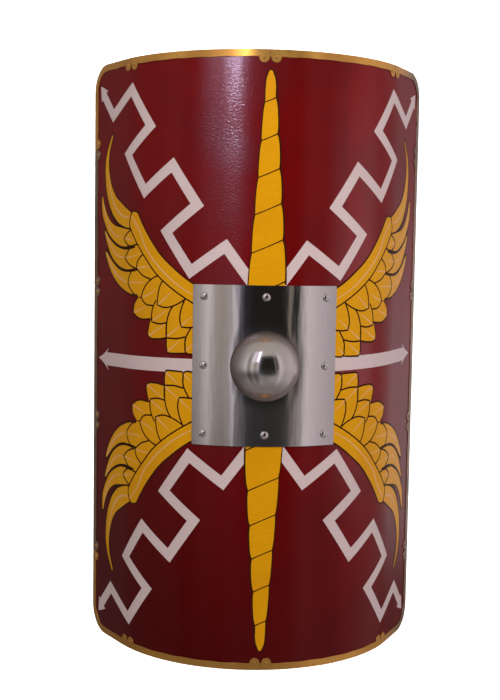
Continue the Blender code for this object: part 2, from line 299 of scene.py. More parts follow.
def room_colour(tree, along, round_axis, turn):
    """The colour of the room: four walls, and the ceiling between them."""
    ceiling_start = add_fade(tree, along, *CEILING_STARTS)
    ceiling_end = add_fade(tree, along, *CEILING_ENDS, 1.0, 0.0)
    ceiling_share = add_math(tree, "MULTIPLY", ceiling_start, ceiling_end)
    for degrees, near, far in ((CEILING[0][0], 0.0, 1.0), (CEILING[-1][0], 1.0, 0.0)):
        start = math.radians(degrees)
        edge = add_fade(tree, round_axis, start, start + CEILING_EDGE_WIDTH, near, far)
        ceiling_share = add_math(tree, "MULTIPLY", ceiling_share, edge)
    low_ceiling, high_ceiling = add_ramp(tree, turn, LOW_CEILING), add_ramp(tree, turn, CEILING)
    ceiling = add_mix(tree, add_fade(tree, along, *HIGH_CEILING_STARTS), low_ceiling, high_ceiling)
    right_share = add_fade(tree, round_axis, *RIGHT_WALL_STARTS)
    right_wall = add_ramp(tree, add_math(tree, "MULTIPLY_ADD", along, 0.5, 0.5), RIGHT_WALL, 2)
    walls = add_mix(tree, right_share, add_ramp(tree, turn, WALLS), right_wall)
    colour = add_mix(tree, ceiling_share, walls, ceiling)
    colour = add_mix(tree, add_fade(tree, along, *FAR_WALL_STARTS), colour, FAR_WALL)
    return add_mix(tree, add_fade(tree, along, *NEAR_WALL_ENDS, 1.0, 0.0), colour, NEAR_WALL)


def room_brightness(tree, along, turn):
    """The brightness of the room, which drops toward its foot."""
    foot = add_fade(tree, along, *FOOT_ENDS, 1.0, 0.0)
    foot = add_math(tree, "MULTIPLY", foot, add_fade(tree, along, *NEAR_WALL_ENDS))
    loss = add_math(tree, "MULTIPLY", foot, add_ramp(tree, turn, FOOT_LOSS))
    return add_math(tree, "SUBTRACT", 1.0, loss)


def build_room():
    """The world: the room for whatever mirrors it, and a white backdrop for the camera."""
    world = bpy.data.worlds.new("studio")
    world.use_nodes = True
    bpy.context.scene.world = world
    tree = world.node_tree
    tree.nodes.clear()
    direction = add_axes(tree, "ShaderNodeTexCoord", "Generated")
    along = direction["Y"]
    round_axis = add_math(tree, "ARCTAN2", direction["X"], direction["Z"])
    turn = add_math(tree, "MULTIPLY_ADD", round_axis, 0.5 / math.pi, 0.5)
    room = add_node(tree, "ShaderNodeBackground")
    tree.links.new(room_colour(tree, along, round_axis, turn), room.inputs["Color"])
    tree.links.new(room_brightness(tree, along, turn), room.inputs["Strength"])
    backdrop = add_node(tree, "ShaderNodeBackground", Color=(1, 1, 1, 1), Strength=1.0)
    rays = tree.nodes.new("ShaderNodeLightPath")
    seen = tree.nodes.new("ShaderNodeMixShader")
    tree.links.new(rays.outputs["Is Camera Ray"], seen.inputs[0])
    tree.links.new(room.outputs[0], seen.inputs[1])
    tree.links.new(backdrop.outputs[0], seen.inputs[2])
    output = tree.nodes.new("ShaderNodeOutputWorld")
    tree.links.new(seen.outputs[0], output.inputs["Surface"])


build_room()
bpy.context.scene.view_settings.view_transform = "Standard"
print("world:", len(bpy.context.scene.world.node_tree.nodes), "nodes")

# %% [markdown]
# The floor is a plain pale sheet. It is lit to nearly white by a soft sun from the upper left
# that shines on the floor only, through Blender's light linking, so that it throws the shield's
# shadow without changing what the steel shows. The floor is hidden from reflected rays too, and
# the lacquer's steep sides mirror the dim foot of the room instead.

# %% Lay the floor
FLOOR_WIDTH = 12.0
FLOOR_TONES = ((0.84, 0.84, 0.84, 1), (0.88, 0.88, 0.88, 1))


def floor_material():
    """A dull sheet with slow clouds of two pale tones."""
    material = bpy.data.materials.new("pale_floor")
    material.use_nodes = True
    tree = material.node_tree
    shader = tree.nodes["Principled BSDF"]
    place = tree.nodes.new("ShaderNodeTexCoord")
    clouds = add_node(tree, "ShaderNodeTexNoise", Scale=1.5, Detail=3.0)
    tree.links.new(place.outputs["Object"], clouds.inputs["Vector"])
    tone = tree.nodes.new("ShaderNodeValToRGB")
    for element, shade in zip(tone.color_ramp.elements, FLOOR_TONES):
        element.color = shade
    tree.links.new(clouds.outputs["Fac"], tone.inputs[0])
    tree.links.new(tone.outputs[0], shader.inputs["Base Color"])
    shader.inputs["Roughness"].default_value = 0.9
    shader.inputs["Specular IOR Level"].default_value = 0.1
    return material


bpy.ops.mesh.primitive_plane_add(size=FLOOR_WIDTH, location=(0, 0, 0))
floor = bpy.context.object
floor.name = "floor"
floor.data.materials.append(floor_material())
floor.visible_glossy = False
floor.visible_diffuse = False
print("floor", FLOOR_WIDTH, "m wide")

# %% Light the floor
SUN_STRENGTH = 6.0
SUN_WIDTH = math.radians(6)
SUN_FROM = Vector((-0.35, 0.06, 1.0))

sun_light = bpy.data.lights.new("floor_sun", "SUN")
sun_light.energy = SUN_STRENGTH
sun_light.angle = SUN_WIDTH
sun = put_in_scene("floor_sun", sun_light)
sun.rotation_euler = SUN_FROM.to_track_quat("Z", "Y").to_euler()
lit_by_sun = bpy.data.collections.new("lit_by_floor_sun")
lit_by_sun.objects.link(floor)
sun.light_linking.receiver_collection = lit_by_sun
print("sun:", SUN_STRENGTH, "on the floor only")

# %% [markdown]
# Two lamps light the face, and nothing mirrors them. A broad soft one beyond the shield's top edge
# lights it a little more at the top than at the bottom, and a small one lights the left side,
# which turns away from the first.

# %% Hang the lamps that light the face
FACE_MIDDLE = Vector((0, 0, FACE_CROWN))


def hang_panel(name, place, width, height, watts, colour):
    """A rectangular lamp that faces the shield, with its height along the shield's."""
    lamp = bpy.data.lights.new(name, "AREA")
    lamp.shape = "RECTANGLE"
    lamp.size = width
    lamp.size_y = height
    lamp.energy = watts
    lamp.color = colour
    panel = put_in_scene(name, lamp)
    back = (place - FACE_MIDDLE).normalized()
    right = Vector((0, 1, 0)).cross(back).normalized()
    turn = Matrix((right, back.cross(right), back)).transposed()
    panel.matrix_world = Matrix.Translation(place) @ turn.to_4x4()
    return panel


# Each lamp is (name, place from the middle of the face, width, watts, colour).
FACE_LAMPS = (
    ("softbox", (0.10, 1.10, 1.50), 1.0, 16.8, (1.0, 0.95, 0.93)),
    ("side_light", (-0.55, 0.95, 0.38), 0.4, 0.45, (1.0, 0.96, 0.95)),
)
for name, away, width, watts, colour in FACE_LAMPS:
    lamp = hang_panel(name, FACE_MIDDLE + Vector(away), width, width, watts, colour)
    lamp.visible_glossy = False
print("lamps on the face:", ", ".join(name for name, *rest in FACE_LAMPS))

# %% [markdown]
# A tall window of two panes, far off to the upper left, is the other way round: it gives only its
# reflection. Each pane is hung twice: a mild one that metal shows as a glint, and a strong one
# that only the lacquer shows, as a long streak.

# %% Hang the window
WINDOW_AWAY = 20.0
WINDOW_RISE = math.radians(30)
WINDOW_HEIGHT = 12.0
WINDOW_COLOUR = (0.80, 0.70, 1.0)
PANE_WATTS = 120
SHEEN_WATTS = 31500
# Each pane is (degrees round the long axis, width, brightness).
PANES = ((-34, 5.6, 0.17), (-21, 2.3, 1.0))

seen_on_lacquer = bpy.data.collections.new("seen_on_lacquer")
seen_on_brass = bpy.data.collections.new("seen_on_brass")


def far_place(degrees, rise):
    """The place as far away as the window, an angle round the long axis and a rise along it."""
    angle, level = math.radians(degrees), math.cos(rise)
    towards = Vector((math.sin(angle) * level, math.sin(rise), math.cos(angle) * level))
    return FACE_MIDDLE + WINDOW_AWAY * towards


def show_only_on(panel, pieces):
    """Leaves a panel only its reflection, in some of the pieces or, with None, in all."""
    panel.visible_diffuse = False
    panel.light_linking.receiver_collection = pieces


for number, (degrees, width, brightness) in enumerate(PANES):
    place = far_place(degrees, WINDOW_RISE)
    for kind, watts_per_width in (("pane", PANE_WATTS), ("sheen", SHEEN_WATTS)):
        watts = watts_per_width * width * brightness
        name = kind + "_" + str(number)
        panel = hang_panel(name, place, width, WINDOW_HEIGHT, watts, WINDOW_COLOUR)
        show_only_on(panel, seen_on_lacquer if kind == "sheen" else None)
print("window:", len(PANES), "panes, each with its sheen")

# %% [markdown]
# A panel that fades out at its edges shows no hard border in a gloss surface. A wide one, far to
# the right, is shown by the lacquer alone and gives its right side a pale veil. Two more are for
# the brass: one fills the ceiling's dark for it and one gives it a glint.

# %% Hang the soft panels
SOFT_EDGE = 0.35
GLOW_AWAY = Vector((5.8, 0.05, 1.4))
GLOW_SIZE = (6.4, 3.7)
GLOW_WATTS = 217
GLOW_COLOUR = (0.95, 0.90, 1.0)
GLOW_FAR_SHARE = 0.45
BRASS_PANEL_RISE = math.radians(10)
BRASS_PANEL_HEIGHT = 6.0
BRASS_PANEL_COLOUR = (1.0, 0.98, 0.92)
# Each panel is (name, degrees round the long axis, width, watts).
BRASS_PANELS = (("glint", -14, 1.3, 520), ("fill", 11, 13.0, 150))


def soften_panel(panel, far_share):
    """Fades a panel's light out at its edges, and down to a share of it along its height."""
    panel.data.use_nodes = True
    tree = panel.data.node_tree
    place = add_axes(tree, "ShaderNodeNewGeometry", "Parametric")
    light = add_fade(tree, place["Y"], 0.0, 1.0, 1.0, far_share)
    for way in ("X", "Y"):
        for fade in ((0.0, SOFT_EDGE, 0.0, 1.0), (1.0 - SOFT_EDGE, 1.0, 1.0, 0.0)):
            light = add_math(tree, "MULTIPLY", light, add_fade(tree, place[way], *fade))
    tree.links.new(light, tree.nodes["Emission"].inputs["Strength"])


glow = hang_panel("side_glow", FACE_MIDDLE + GLOW_AWAY, *GLOW_SIZE, GLOW_WATTS, GLOW_COLOUR)
show_only_on(glow, seen_on_lacquer)
soften_panel(glow, GLOW_FAR_SHARE)
for name, degrees, width, watts in BRASS_PANELS:
    place = far_place(degrees, BRASS_PANEL_RISE)
    panel = hang_panel(name, place, width, BRASS_PANEL_HEIGHT, watts, BRASS_PANEL_COLOUR)
    show_only_on(panel, seen_on_brass)
    soften_panel(panel, 1.0)
print("soft panels:", glow.name, "and", ", ".join(name for name, *rest in BRASS_PANELS))

# %% [markdown]
# ## Tools for flat work
#
# A few helpers do what a hand does over and over: pick one piece, cut a plate from an outline,
# join, cut, and roll. An outline inside another is a hole. The rolling has two steps. First the
# flat piece gets a crease wherever a facet line crosses it, 5 mm apart. Then a Curve modifier
# wraps it round a guide that follows the face. All pieces share those lines, so even layers of
# paint a tenth of a millimetre apart never cut through each other.

# %% Helpers for picking and finishing
SAME_PLACE = 0.001 * MM


def work_on(piece):
    """Selects one piece and nothing else."""
    bpy.ops.object.select_all(action="DESELECT")
    piece.select_set(True)
    bpy.context.view_layer.objects.active = piece


def edit(piece):
    """Opens a piece in edit mode with everything selected."""
    work_on(piece)
    bpy.ops.object.mode_set(mode="EDIT")
    bpy.ops.mesh.select_all(action="SELECT")


def close_up():
    """Merges double points, points the faces outwards and leaves edit mode."""
    bpy.ops.mesh.select_all(action="SELECT")
    bpy.ops.mesh.remove_doubles(threshold=SAME_PLACE)
    bpy.ops.mesh.normals_make_consistent(inside=False)
    bpy.ops.object.mode_set(mode="OBJECT")


def apply_place(piece):
    """Works the object's place, turn and size into its mesh."""
    work_on(piece)
    bpy.ops.object.transform_apply(location=True, rotation=True, scale=True)


def join(pieces, name):
    """Makes several pieces one."""
    work_on(pieces[0])
    for piece in pieces:
        piece.select_set(True)
    if len(pieces) > 1:
        bpy.ops.object.join()
    pieces[0].name = name
    pieces[0].data.name = name
    return pieces[0]


def copy_of(piece, name):
    """A copy with a mesh of its own."""
    work_on(piece)
    bpy.ops.object.duplicate(linked=False)
    copied = bpy.context.object
    copied.name = name
    copied.data.name = name
    return copied


def shape_with(piece, tool, operation):
    """Cuts a tool out of a piece or joins it on. The tool is used up."""
    work_on(piece)
    boolean = piece.modifiers.new("shape", "BOOLEAN")
    boolean.operation = operation
    boolean.solver = "EXACT"
    boolean.object = tool
    bpy.ops.object.modifier_apply(modifier="shape")
    bpy.data.objects.remove(tool)


def soften(piece, width, segments, sharper_than):
    """Rounds the edges that turn by more than some degrees."""
    work_on(piece)
    bevel = piece.modifiers.new("soften", "BEVEL")
    bevel.width = width
    bevel.segments = segments
    bevel.limit_method = "ANGLE"
    bevel.angle_limit = math.radians(sharper_than)
    bpy.ops.object.modifier_apply(modifier="soften")


print("helpers ready")

# %% Helpers for outlines and plates
CORNER_RADIUS = 48 * MM
CORNER_STEPS = 12


def rounded_rectangle(half_width, half_height, radius, steps):
    """The points of a rectangle with round corners, anticlockwise."""
    points = []
    for quarter, (across, up) in enumerate(((1, 1), (-1, 1), (-1, -1), (1, -1))):
        for step in range(steps + 1):
            angle = math.radians(90) * (quarter + step / steps)
            x = across * (half_width - radius) + radius * math.cos(angle)
            y = up * (half_height - radius) + radius * math.sin(angle)
            points.append((x, y))
    return points


def circle(radius, steps):
    """The points of a circle round the origin."""
    turns = [2 * math.pi * step / steps for step in range(steps)]
    return [(radius * math.cos(turn), radius * math.sin(turn)) for turn in turns]


def face_outline(inset):
    """The shield's outline in the flat, moved inwards."""
    half_width, half_height = FACE_HALF_LENGTH - inset, HALF_HEIGHT - inset
    return rounded_rectangle(half_width, half_height, CORNER_RADIUS - inset, CORNER_STEPS)


def cut_from(drawing, name, bottom, top):
    """Turns a flat drawing into a closed plate between two heights."""
    drawing.dimensions = "2D"
    drawing.fill_mode = "BOTH"
    drawing.extrude = (top - bottom) / 2
    piece = put_in_scene(name, drawing)
    work_on(piece)
    bpy.ops.object.convert(target="MESH")
    piece.location.z = (top + bottom) / 2
    apply_place(piece)
    edit(piece)
    close_up()
    return piece


def plate(name, outlines, bottom, top):
    """A flat plate with straight-sided outlines."""
    drawing = bpy.data.curves.new(name, "CURVE")
    for outline in outlines:
        line = drawing.splines.new("POLY")
        line.points.add(len(outline) - 1)
        line.use_cyclic_u = True
        for point, (x, y) in zip(line.points, outline):
            point.co = (x, y, 0, 1)
    return cut_from(drawing, name, bottom, top)


print("outline of the face:", len(face_outline(0)), "points")

# %% Helpers for rolling
FACET = 5 * MM
FACET_COUNT = round(FACE_HALF_LENGTH / FACET)


def make_roller():
    """The guide that flat pieces are rolled round. It stands at the flat sheet's left edge."""
    drawing = bpy.data.curves.new("roller", "CURVE")
    drawing.dimensions = "3D"
    line = drawing.splines.new("POLY")
    line.points.add(2 * FACET_COUNT)
    for index, point in enumerate(line.points):
        x, z = face_point((index - FACET_COUNT) * FACET)
        point.co = (x + FACE_HALF_LENGTH, 0, z, 1)
    guide = put_in_scene("roller", drawing)
    guide.location.x = -FACE_HALF_LENGTH
    return guide


def crease(piece):
    """Cuts an edge into a flat piece along each facet line that crosses it."""
    reach = [vertex.co.x for vertex in piece.data.vertices]
    first = math.ceil(min(reach) / FACET)
    last = math.floor(max(reach) / FACET)
    edit(piece)
    for line in range(first, last + 1):
        bpy.ops.mesh.select_all(action="SELECT")
        bpy.ops.mesh.bisect(plane_co=(line * FACET, 0, 0), plane_no=(1, 0, 0), threshold=SAME_PLACE)
    bpy.ops.object.mode_set(mode="OBJECT")


def roll(piece):
    """Creases a flat piece and wraps it round the roller."""
    crease(piece)
    work_on(piece)
    wrap = piece.modifiers.new("roll", "CURVE")
    wrap.object = ROLLER
    wrap.deform_axis = "POS_X"
    bpy.ops.object.modifier_apply(modifier="roll")
    return piece


def stand_on_face(piece, along, up):
    """Stands a small upright piece on the painted face, square to it."""
    x, z = face_point(along)
    piece.location = (x, up, z)
    piece.rotation_euler = (0, face_angle(along), 0)
    apply_place(piece)


ROLLER = make_roller()
print("roller:", len(ROLLER.data.splines[0].points), "points")

# %% [markdown]
# ## Surface effects that several materials share
#
# Three node groups carry the small things that make a surface real. "hand_paint" gives slow
# changes of tone, brush streaks and the fine pebbled skin of sprayed lacquer, and can make a
# colour darker toward the lower left. "worn_metal" gives tarnish, fine scratches and a rippled
# surface. "timber" gives grain. Each puts out colours, values and heights, and the shader stays
# in the material.

# %% Build the paint group
# The colour darkens down the slope of y + slant times x, from the second place to the first.
DARKER_SLANT = 0.8
DARKER_FADE = (-0.75, 0.15)


def new_group(name, inputs, outputs):
    """A node group with named sockets. Each socket is (name, kind, value)."""
    tree = bpy.data.node_groups.new(name, "ShaderNodeTree")
    for socket, kind, value in inputs:
        made = tree.interface.new_socket(socket, in_out="INPUT", socket_type="NodeSocket" + kind)
        made.default_value = value
    for socket, kind in outputs:
        tree.interface.new_socket(socket, in_out="OUTPUT", socket_type="NodeSocket" + kind)
    start = tree.nodes.new("NodeGroupInput")
    end = tree.nodes.new("NodeGroupOutput")
    return tree, start.outputs, end.inputs


def squeezed_place(tree, squeeze):
    """The piece's own coordinates, for a pattern that is squeezed along its axes."""
    place = tree.nodes.new("ShaderNodeTexCoord")
    sizing = tree.nodes.new("ShaderNodeMapping")
    sizing.inputs["Scale"].default_value = squeeze
    tree.links.new(place.outputs["Object"], sizing.inputs["Vector"])
    return sizing.outputs["Vector"]


def add_noise(tree, scale, detail, squeeze=(1, 1, 1), roughness=0.5):
    """Adds noise that belongs to the piece."""
    noise = add_node(tree, "ShaderNodeTexNoise", Scale=scale, Detail=detail, Roughness=roughness)
    tree.links.new(squeezed_place(tree, squeeze), noise.inputs["Vector"])
    return noise.outputs["Fac"]


def build_paint_group():
    """Lacquer or enamel: its colour where it is thin and where it darkens toward the lower left, and the
    height of its skin.
    """
    inputs = (
        ("Colour", "Color", (0.5, 0.5, 0.5, 1)),
        ("Thin Colour", "Color", (0.3, 0.3, 0.3, 1)),
        ("Tone Change", "Float", 0.5),
        ("Streaks", "Float", 0.3),
        ("Pebbles", "Float", 0.5),
        ("Deep Colour", "Color", (0.2, 0.2, 0.2, 1)),
        ("Deep", "Float", 0.0),
    )
    outputs = (("Colour", "Color"), ("Roughness Change", "Float"), ("Height", "Float"))
    tree, given, result = new_group("hand_paint", inputs, outputs)
    clouds = add_fade(tree, add_noise(tree, scale=9, detail=4), 0.35, 0.70)
    clouds = add_math(tree, "MULTIPLY", clouds, given["Tone Change"])
    brush = add_fade(tree, add_noise(tree, scale=60, detail=3, squeeze=(1, 9, 1)), 0.40, 0.75)
    brush = add_math(tree, "MULTIPLY", brush, given["Streaks"])
    thin = add_math(tree, "MAXIMUM", clouds, brush)
    place = add_axes(tree, "ShaderNodeTexCoord", "Object")
    slant = add_math(tree, "MULTIPLY_ADD", place["X"], DARKER_SLANT, place["Y"])
    darker = add_math(tree, "MULTIPLY", add_fade(tree, slant, *DARKER_FADE, 1.0, 0.0), given["Deep"])
    colour = add_mix(tree, thin, given["Colour"], given["Thin Colour"])
    tree.links.new(add_mix(tree, darker, colour, given["Deep Colour"]), result["Colour"])
    tree.links.new(thin, result["Roughness Change"])
    skin = add_math(tree, "MULTIPLY", add_noise(tree, scale=390, detail=0), given["Pebbles"])
    ridges = add_math(tree, "MULTIPLY", brush, 0.5)
    tree.links.new(add_math(tree, "ADD", skin, ridges), result["Height"])
    return tree


HAND_PAINT = build_paint_group()
print("paint group:", len(HAND_PAINT.nodes), "nodes")

# %% Build the metal group
def build_metal_group():
    """Bare metal: tarnish and its dullness, and the height of ripples and scratches."""
    inputs = (
        ("Colour", "Color", (0.5, 0.5, 0.5, 1)),
        ("Tarnish Colour", "Color", (0.2, 0.2, 0.2, 1)),
        ("Tarnish", "Float", 0.3),
        ("Roughness", "Float", 0.2),
        ("Scratches", "Float", 0.3),
        ("Ripples", "Float", 0.5),
    )
    outputs = (("Colour", "Color"), ("Roughness", "Float"), ("Height", "Float"))
    tree, given, result = new_group("worn_metal", inputs, outputs)
    patches = add_fade(tree, add_noise(tree, scale=14, detail=5), 0.42, 0.72)
    spots = add_fade(tree, add_noise(tree, scale=160, detail=3), 0.55, 0.75)
    dull = add_math(tree, "MAXIMUM", patches, add_math(tree, "MULTIPLY", spots, 0.6))
    dull = add_math(tree, "MULTIPLY", dull, given["Tarnish"])
    tree.links.new(add_mix(tree, dull, given["Colour"], given["Tarnish Colour"]), result["Colour"])
    scratches = add_noise(tree, scale=90, detail=4, squeeze=(24, 1, 24), roughness=0.7)
    scratches = add_math(tree, "MULTIPLY", scratches, given["Scratches"])
    rough = add_math(tree, "MULTIPLY_ADD", dull, 0.3, given["Roughness"])
    rough = add_math(tree, "MULTIPLY_ADD", scratches, 0.12, rough)
    tree.links.new(rough, result["Roughness"])
    ripples = add_noise(tree, scale=80, detail=1, squeeze=(1, 0.16, 1))
    ripples = add_math(tree, "MULTIPLY", ripples, given["Ripples"])
    grooves = add_math(tree, "MULTIPLY", scratches, 0.1)
    tree.links.new(add_math(tree, "ADD", ripples, grooves), result["Height"])
    return tree


WORN_METAL = build_metal_group()
print("metal group:", len(WORN_METAL.nodes), "nodes")

# %% Build the timber group
def build_timber_group():
    """Wood with its grain along x."""
    inputs = (
        ("Light Colour", "Color", (0.6, 0.4, 0.2, 1)),
        ("Dark Colour", "Color", (0.3, 0.2, 0.1, 1)),
        ("Grain", "Float", 1.0),
    )
    outputs = (("Colour", "Color"), ("Roughness", "Float"), ("Height", "Float"))
    tree, given, result = new_group("timber", inputs, outputs)
    rings = add_node(
        tree, "ShaderNodeTexWave", Scale=22, Distortion=5.0, Detail=3.0, Detail_Scale=1.2
    )
    rings.bands_direction = "Y"
    tree.links.new(squeezed_place(tree, (0.12, 1, 1)), rings.inputs["Vector"])
    fibres = add_noise(tree, scale=300, detail=3, squeeze=(0.06, 1, 1))
    mixed = add_math(tree, "MULTIPLY", rings.outputs["Fac"], 0.55)
    mixed = add_math(tree, "MULTIPLY_ADD", fibres, 0.6, mixed)
    shade = add_math(tree, "MULTIPLY", mixed, given["Grain"])
    tree.links.new(add_mix(tree, shade, given["Light Colour"], given["Dark Colour"]), result["Colour"])
    tree.links.new(add_math(tree, "MULTIPLY_ADD", fibres, 0.2, 0.42), result["Roughness"])
    tree.links.new(mixed, result["Height"])
    return tree


TIMBER = build_timber_group()
print("timber group:", len(TIMBER.nodes), "nodes")

# %% [markdown]
# ## Materials
#
# The lacquer is a dark blood red under a hard gloss. The painted device is a satin signwriter's
# enamel in ochre yellow, warm white and black, with pale strokes for the light on the feathers.
# The edging is brass. The side strips are a darker, duller copy of it, which paints in the shade
# and dark reflection they show where they turn away. Painted shade darkens the right corners,
# and the brass turns darker and browner toward the bottom. The boss plate is steel polished
# nearly to a mirror, and its dome is spun steel with painted shade that darkens it toward its foot.

# %% Mix the paints
THIN_COAT_DULLS = 0.04


def new_material(name, group, bump_depth, effects):
    """A material with one effect group feeding its shader's colour and bump.

    The effects name the group's inputs, with _ for a space. A colour is red, green and blue.
    """
    material = bpy.data.materials.new(name)
    material.use_nodes = True
    tree = material.node_tree
    shader = tree.nodes["Principled BSDF"]
    effect = tree.nodes.new("ShaderNodeGroup")
    effect.node_tree = group
    for socket, value in effects.items():
        if isinstance(value, tuple):
            value = (*value, 1)
        effect.inputs[socket.replace("_", " ")].default_value = value
    tree.links.new(effect.outputs["Colour"], shader.inputs["Base Color"])
    bump = add_node(tree, "ShaderNodeBump", Strength=1.0, Distance=bump_depth)
    tree.links.new(effect.outputs["Height"], bump.inputs["Height"])
    tree.links.new(bump.outputs["Normal"], shader.inputs["Normal"])
    return material, tree, shader, effect


def paint(name, roughness, gloss, bump_depth, **effects):
    """A paint. Its gloss is the shader's specular level: 0.5 is glass, and less mirrors less."""
    material, tree, shader, effect = new_material(name, HAND_PAINT, bump_depth, effects)
    thin = effect.outputs["Roughness Change"]
    rough = add_math(tree, "MULTIPLY_ADD", thin, THIN_COAT_DULLS, roughness)
    tree.links.new(rough, shader.inputs["Roughness"])
    shader.inputs["Specular IOR Level"].default_value = gloss
    return material


RED_LACQUER = paint(
    "red_lacquer",
    roughness=0.125, gloss=0.12, bump_depth=0.15 * MM,
    Colour=(0.167, 0.0021, 0.0025), Thin_Colour=(0.122, 0.0019, 0.0021),
    Deep_Colour=(0.070, 0.0012, 0.0012), Deep=1.0,
    Tone_Change=0.7, Streaks=0.1, Pebbles=1.0,
)
YELLOW_ENAMEL = paint(
    "yellow_enamel",
    roughness=0.28, gloss=0.10, bump_depth=0.03 * MM,
    Colour=(0.87, 0.41, 0.004), Thin_Colour=(0.74, 0.30, 0.004),
    Tone_Change=0.5, Streaks=0.5, Pebbles=0.5,
)
WHITE_ENAMEL = paint(
    "white_enamel",
    roughness=0.32, gloss=0.12, bump_depth=0.03 * MM,
    Colour=(0.78, 0.64, 0.63), Thin_Colour=(0.68, 0.53, 0.52),
    Tone_Change=0.5, Streaks=0.4, Pebbles=0.5,
)
BLACK_ENAMEL = paint(
    "black_enamel",
    roughness=0.30, gloss=0.04, bump_depth=0.02 * MM,
    Colour=(0.032, 0.009, 0.003), Thin_Colour=(0.060, 0.018, 0.005),
    Tone_Change=0.4, Streaks=0.4, Pebbles=0.5,
)
PALE_ENAMEL = paint(
    "pale_enamel",
    roughness=0.32, gloss=0.12, bump_depth=0.02 * MM,
    Colour=(0.89, 0.50, 0.22), Thin_Colour=(0.83, 0.40, 0.08),
    Tone_Change=0.6, Streaks=0.5, Pebbles=0.5,
)
paints = (RED_LACQUER, YELLOW_ENAMEL, WHITE_ENAMEL, BLACK_ENAMEL, PALE_ENAMEL)
print("paints:", ", ".join(mixed.name for mixed in paints))

# %% Mix the metals and woods
def metal(name, bump_depth, **effects):
    """A bare metal, which wears as its group says."""
    material, tree, shader, effect = new_material(name, WORN_METAL, bump_depth, effects)
    tree.links.new(effect.outputs["Roughness"], shader.inputs["Roughness"])
    shader.inputs["Metallic"].default_value = 1.0
    return material


def wood(name, bump_depth, **effects):
    """A wood with a thin coat of oil."""
    material, tree, shader, effect = new_material(name, TIMBER, bump_depth, effects)
    tree.links.new(effect.outputs["Roughness"], shader.inputs["Roughness"])
    shader.inputs["Specular IOR Level"].default_value = 0.4
    return material


BRASS = metal(
    "edging_brass", bump_depth=0.10 * MM,
    Colour=(0.86, 0.46, 0.11), Tarnish_Colour=(0.45, 0.20, 0.04),
    Tarnish=0.5, Roughness=0.22, Scratches=0.5, Ripples=0.6,
)
# Painted shade: a darker, duller copy of the brass for the side strips, standing for the shade and dark
# reflection they show where they turn away.
SHADED_BRASS = metal(
    "shaded_side_brass", bump_depth=0.10 * MM,
    Colour=(0.36, 0.27, 0.18), Tarnish_Colour=(0.18, 0.13, 0.08),
    Tarnish=0.7, Roughness=0.32, Scratches=0.5, Ripples=0.6,
)
STEEL = metal(
    "polished_steel", bump_depth=0.20 * MM,
    Colour=(0.60, 0.56, 0.55), Tarnish_Colour=(0.42, 0.38, 0.36),
    Tarnish=0.08, Roughness=0.045, Scratches=0.2, Ripples=1.0,
)
SPUN_STEEL = metal(
    "spun_steel", bump_depth=0.05 * MM,
    Colour=(0.60, 0.56, 0.54), Tarnish_Colour=(0.42, 0.38, 0.34),
    Tarnish=0.10, Roughness=0.10, Scratches=0.3, Ripples=0.3,
)
BIRCH_PLY = wood(
    "birch_ply", bump_depth=0.04 * MM,
    Light_Colour=(0.62, 0.42, 0.22), Dark_Colour=(0.42, 0.25, 0.11), Grain=0.8,
)
GRIP_WOOD = wood(
    "grip_ash", bump_depth=0.08 * MM,
    Light_Colour=(0.46, 0.27, 0.12), Dark_Colour=(0.20, 0.10, 0.04), Grain=1.0,
)
bare = (BRASS, SHADED_BRASS, STEEL, SPUN_STEEL, BIRCH_PLY, GRIP_WOOD)
print("metals and woods:", ", ".join(mixed.name for mixed in bare))

# %% Paint shade on the dome and the right brass corners, and darken the bottom brass
DARKENING_DULLS = 0.5
DOME_FOOT = FACE_CROWN + 2.5 * MM
DOME_SHADE_TOP = DOME_FOOT + 50 * MM
CORNER_SHADE_STARTS, CORNER_SHADE_FULL = 245 * MM, 290 * MM
BOTTOM_DARKENING_STARTS, BOTTOM_DARKENING_FULL = -420 * MM, -515 * MM


def add_darkening(material, axis, plain_end, dark_end, share, colour):
    """Darkens and dulls a metal, more and more from a plain end to a dark end on an axis."""
    tree = material.node_tree
    shader = tree.nodes["Principled BSDF"]
    place = add_axes(tree, "ShaderNodeTexCoord", "Object")
    shares = (0.0, share) if plain_end < dark_end else (share, 0.0)
    darkening = add_fade(tree, place[axis], min(plain_end, dark_end), max(plain_end, dark_end), *shares)
    bare_colour = shader.inputs["Base Color"].links[0].from_socket
    tree.links.new(add_mix(tree, darkening, bare_colour, (*colour, 1)), shader.inputs["Base Color"])
    bare_roughness = tree.nodes["Group"].outputs["Roughness"]
    rough = add_math(tree, "MULTIPLY_ADD", darkening, DARKENING_DULLS, bare_roughness)
    tree.links.new(rough, shader.inputs["Roughness"])


# Painted shade: the dome darkens more and more toward its foot, where it meets the sheet.
add_darkening(SPUN_STEEL, "Z", DOME_SHADE_TOP, DOME_FOOT, 0.95, (0.20, 0.15, 0.12))
# Painted shade: the brass of the right corners darkens toward the right side.
add_darkening(BRASS, "X", CORNER_SHADE_STARTS, CORNER_SHADE_FULL, 0.9, (0.24, 0.19, 0.14))
# The brass turns darker and browner toward the bottom.
add_darkening(BRASS, "Y", BOTTOM_DARKENING_STARTS, BOTTOM_DARKENING_FULL, 0.25, (0.26, 0.12, 0.03))
print("dirt on", SPUN_STEEL.name, "and", BRASS.name)

# %% Helper for handing in a piece
SMOOTH_UP_TO = math.radians(30)


def hand_in(piece, material, slot, *stands_for):
    """Gives a finished piece its material and its place in the frame."""
    piece.data.materials.clear()
    piece.data.materials.append(material)
    work_on(piece)
    bpy.ops.object.shade_smooth_by_angle(angle=SMOOTH_UP_TO)
    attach(piece, "root")
    if stands_for:
        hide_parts(*stands_for)


print("ready to hand in pieces")

# %% [markdown]
# ## Board
#
# The board is plywood glued up in a curved press, with a skin of lacquer on its face and a round
# hand hole behind the boss. Skin and plywood are two plates with the same outline. The brass
# hides the outer edge, and the hole shows the plies from behind.

# %% Press the board
LACQUER_DEPTH = 0.2 * MM
BOARD_INSET = 1.3 * MM
HAND_HOLE_RADIUS = 56 * MM
HAND_HOLE_STEPS = 96

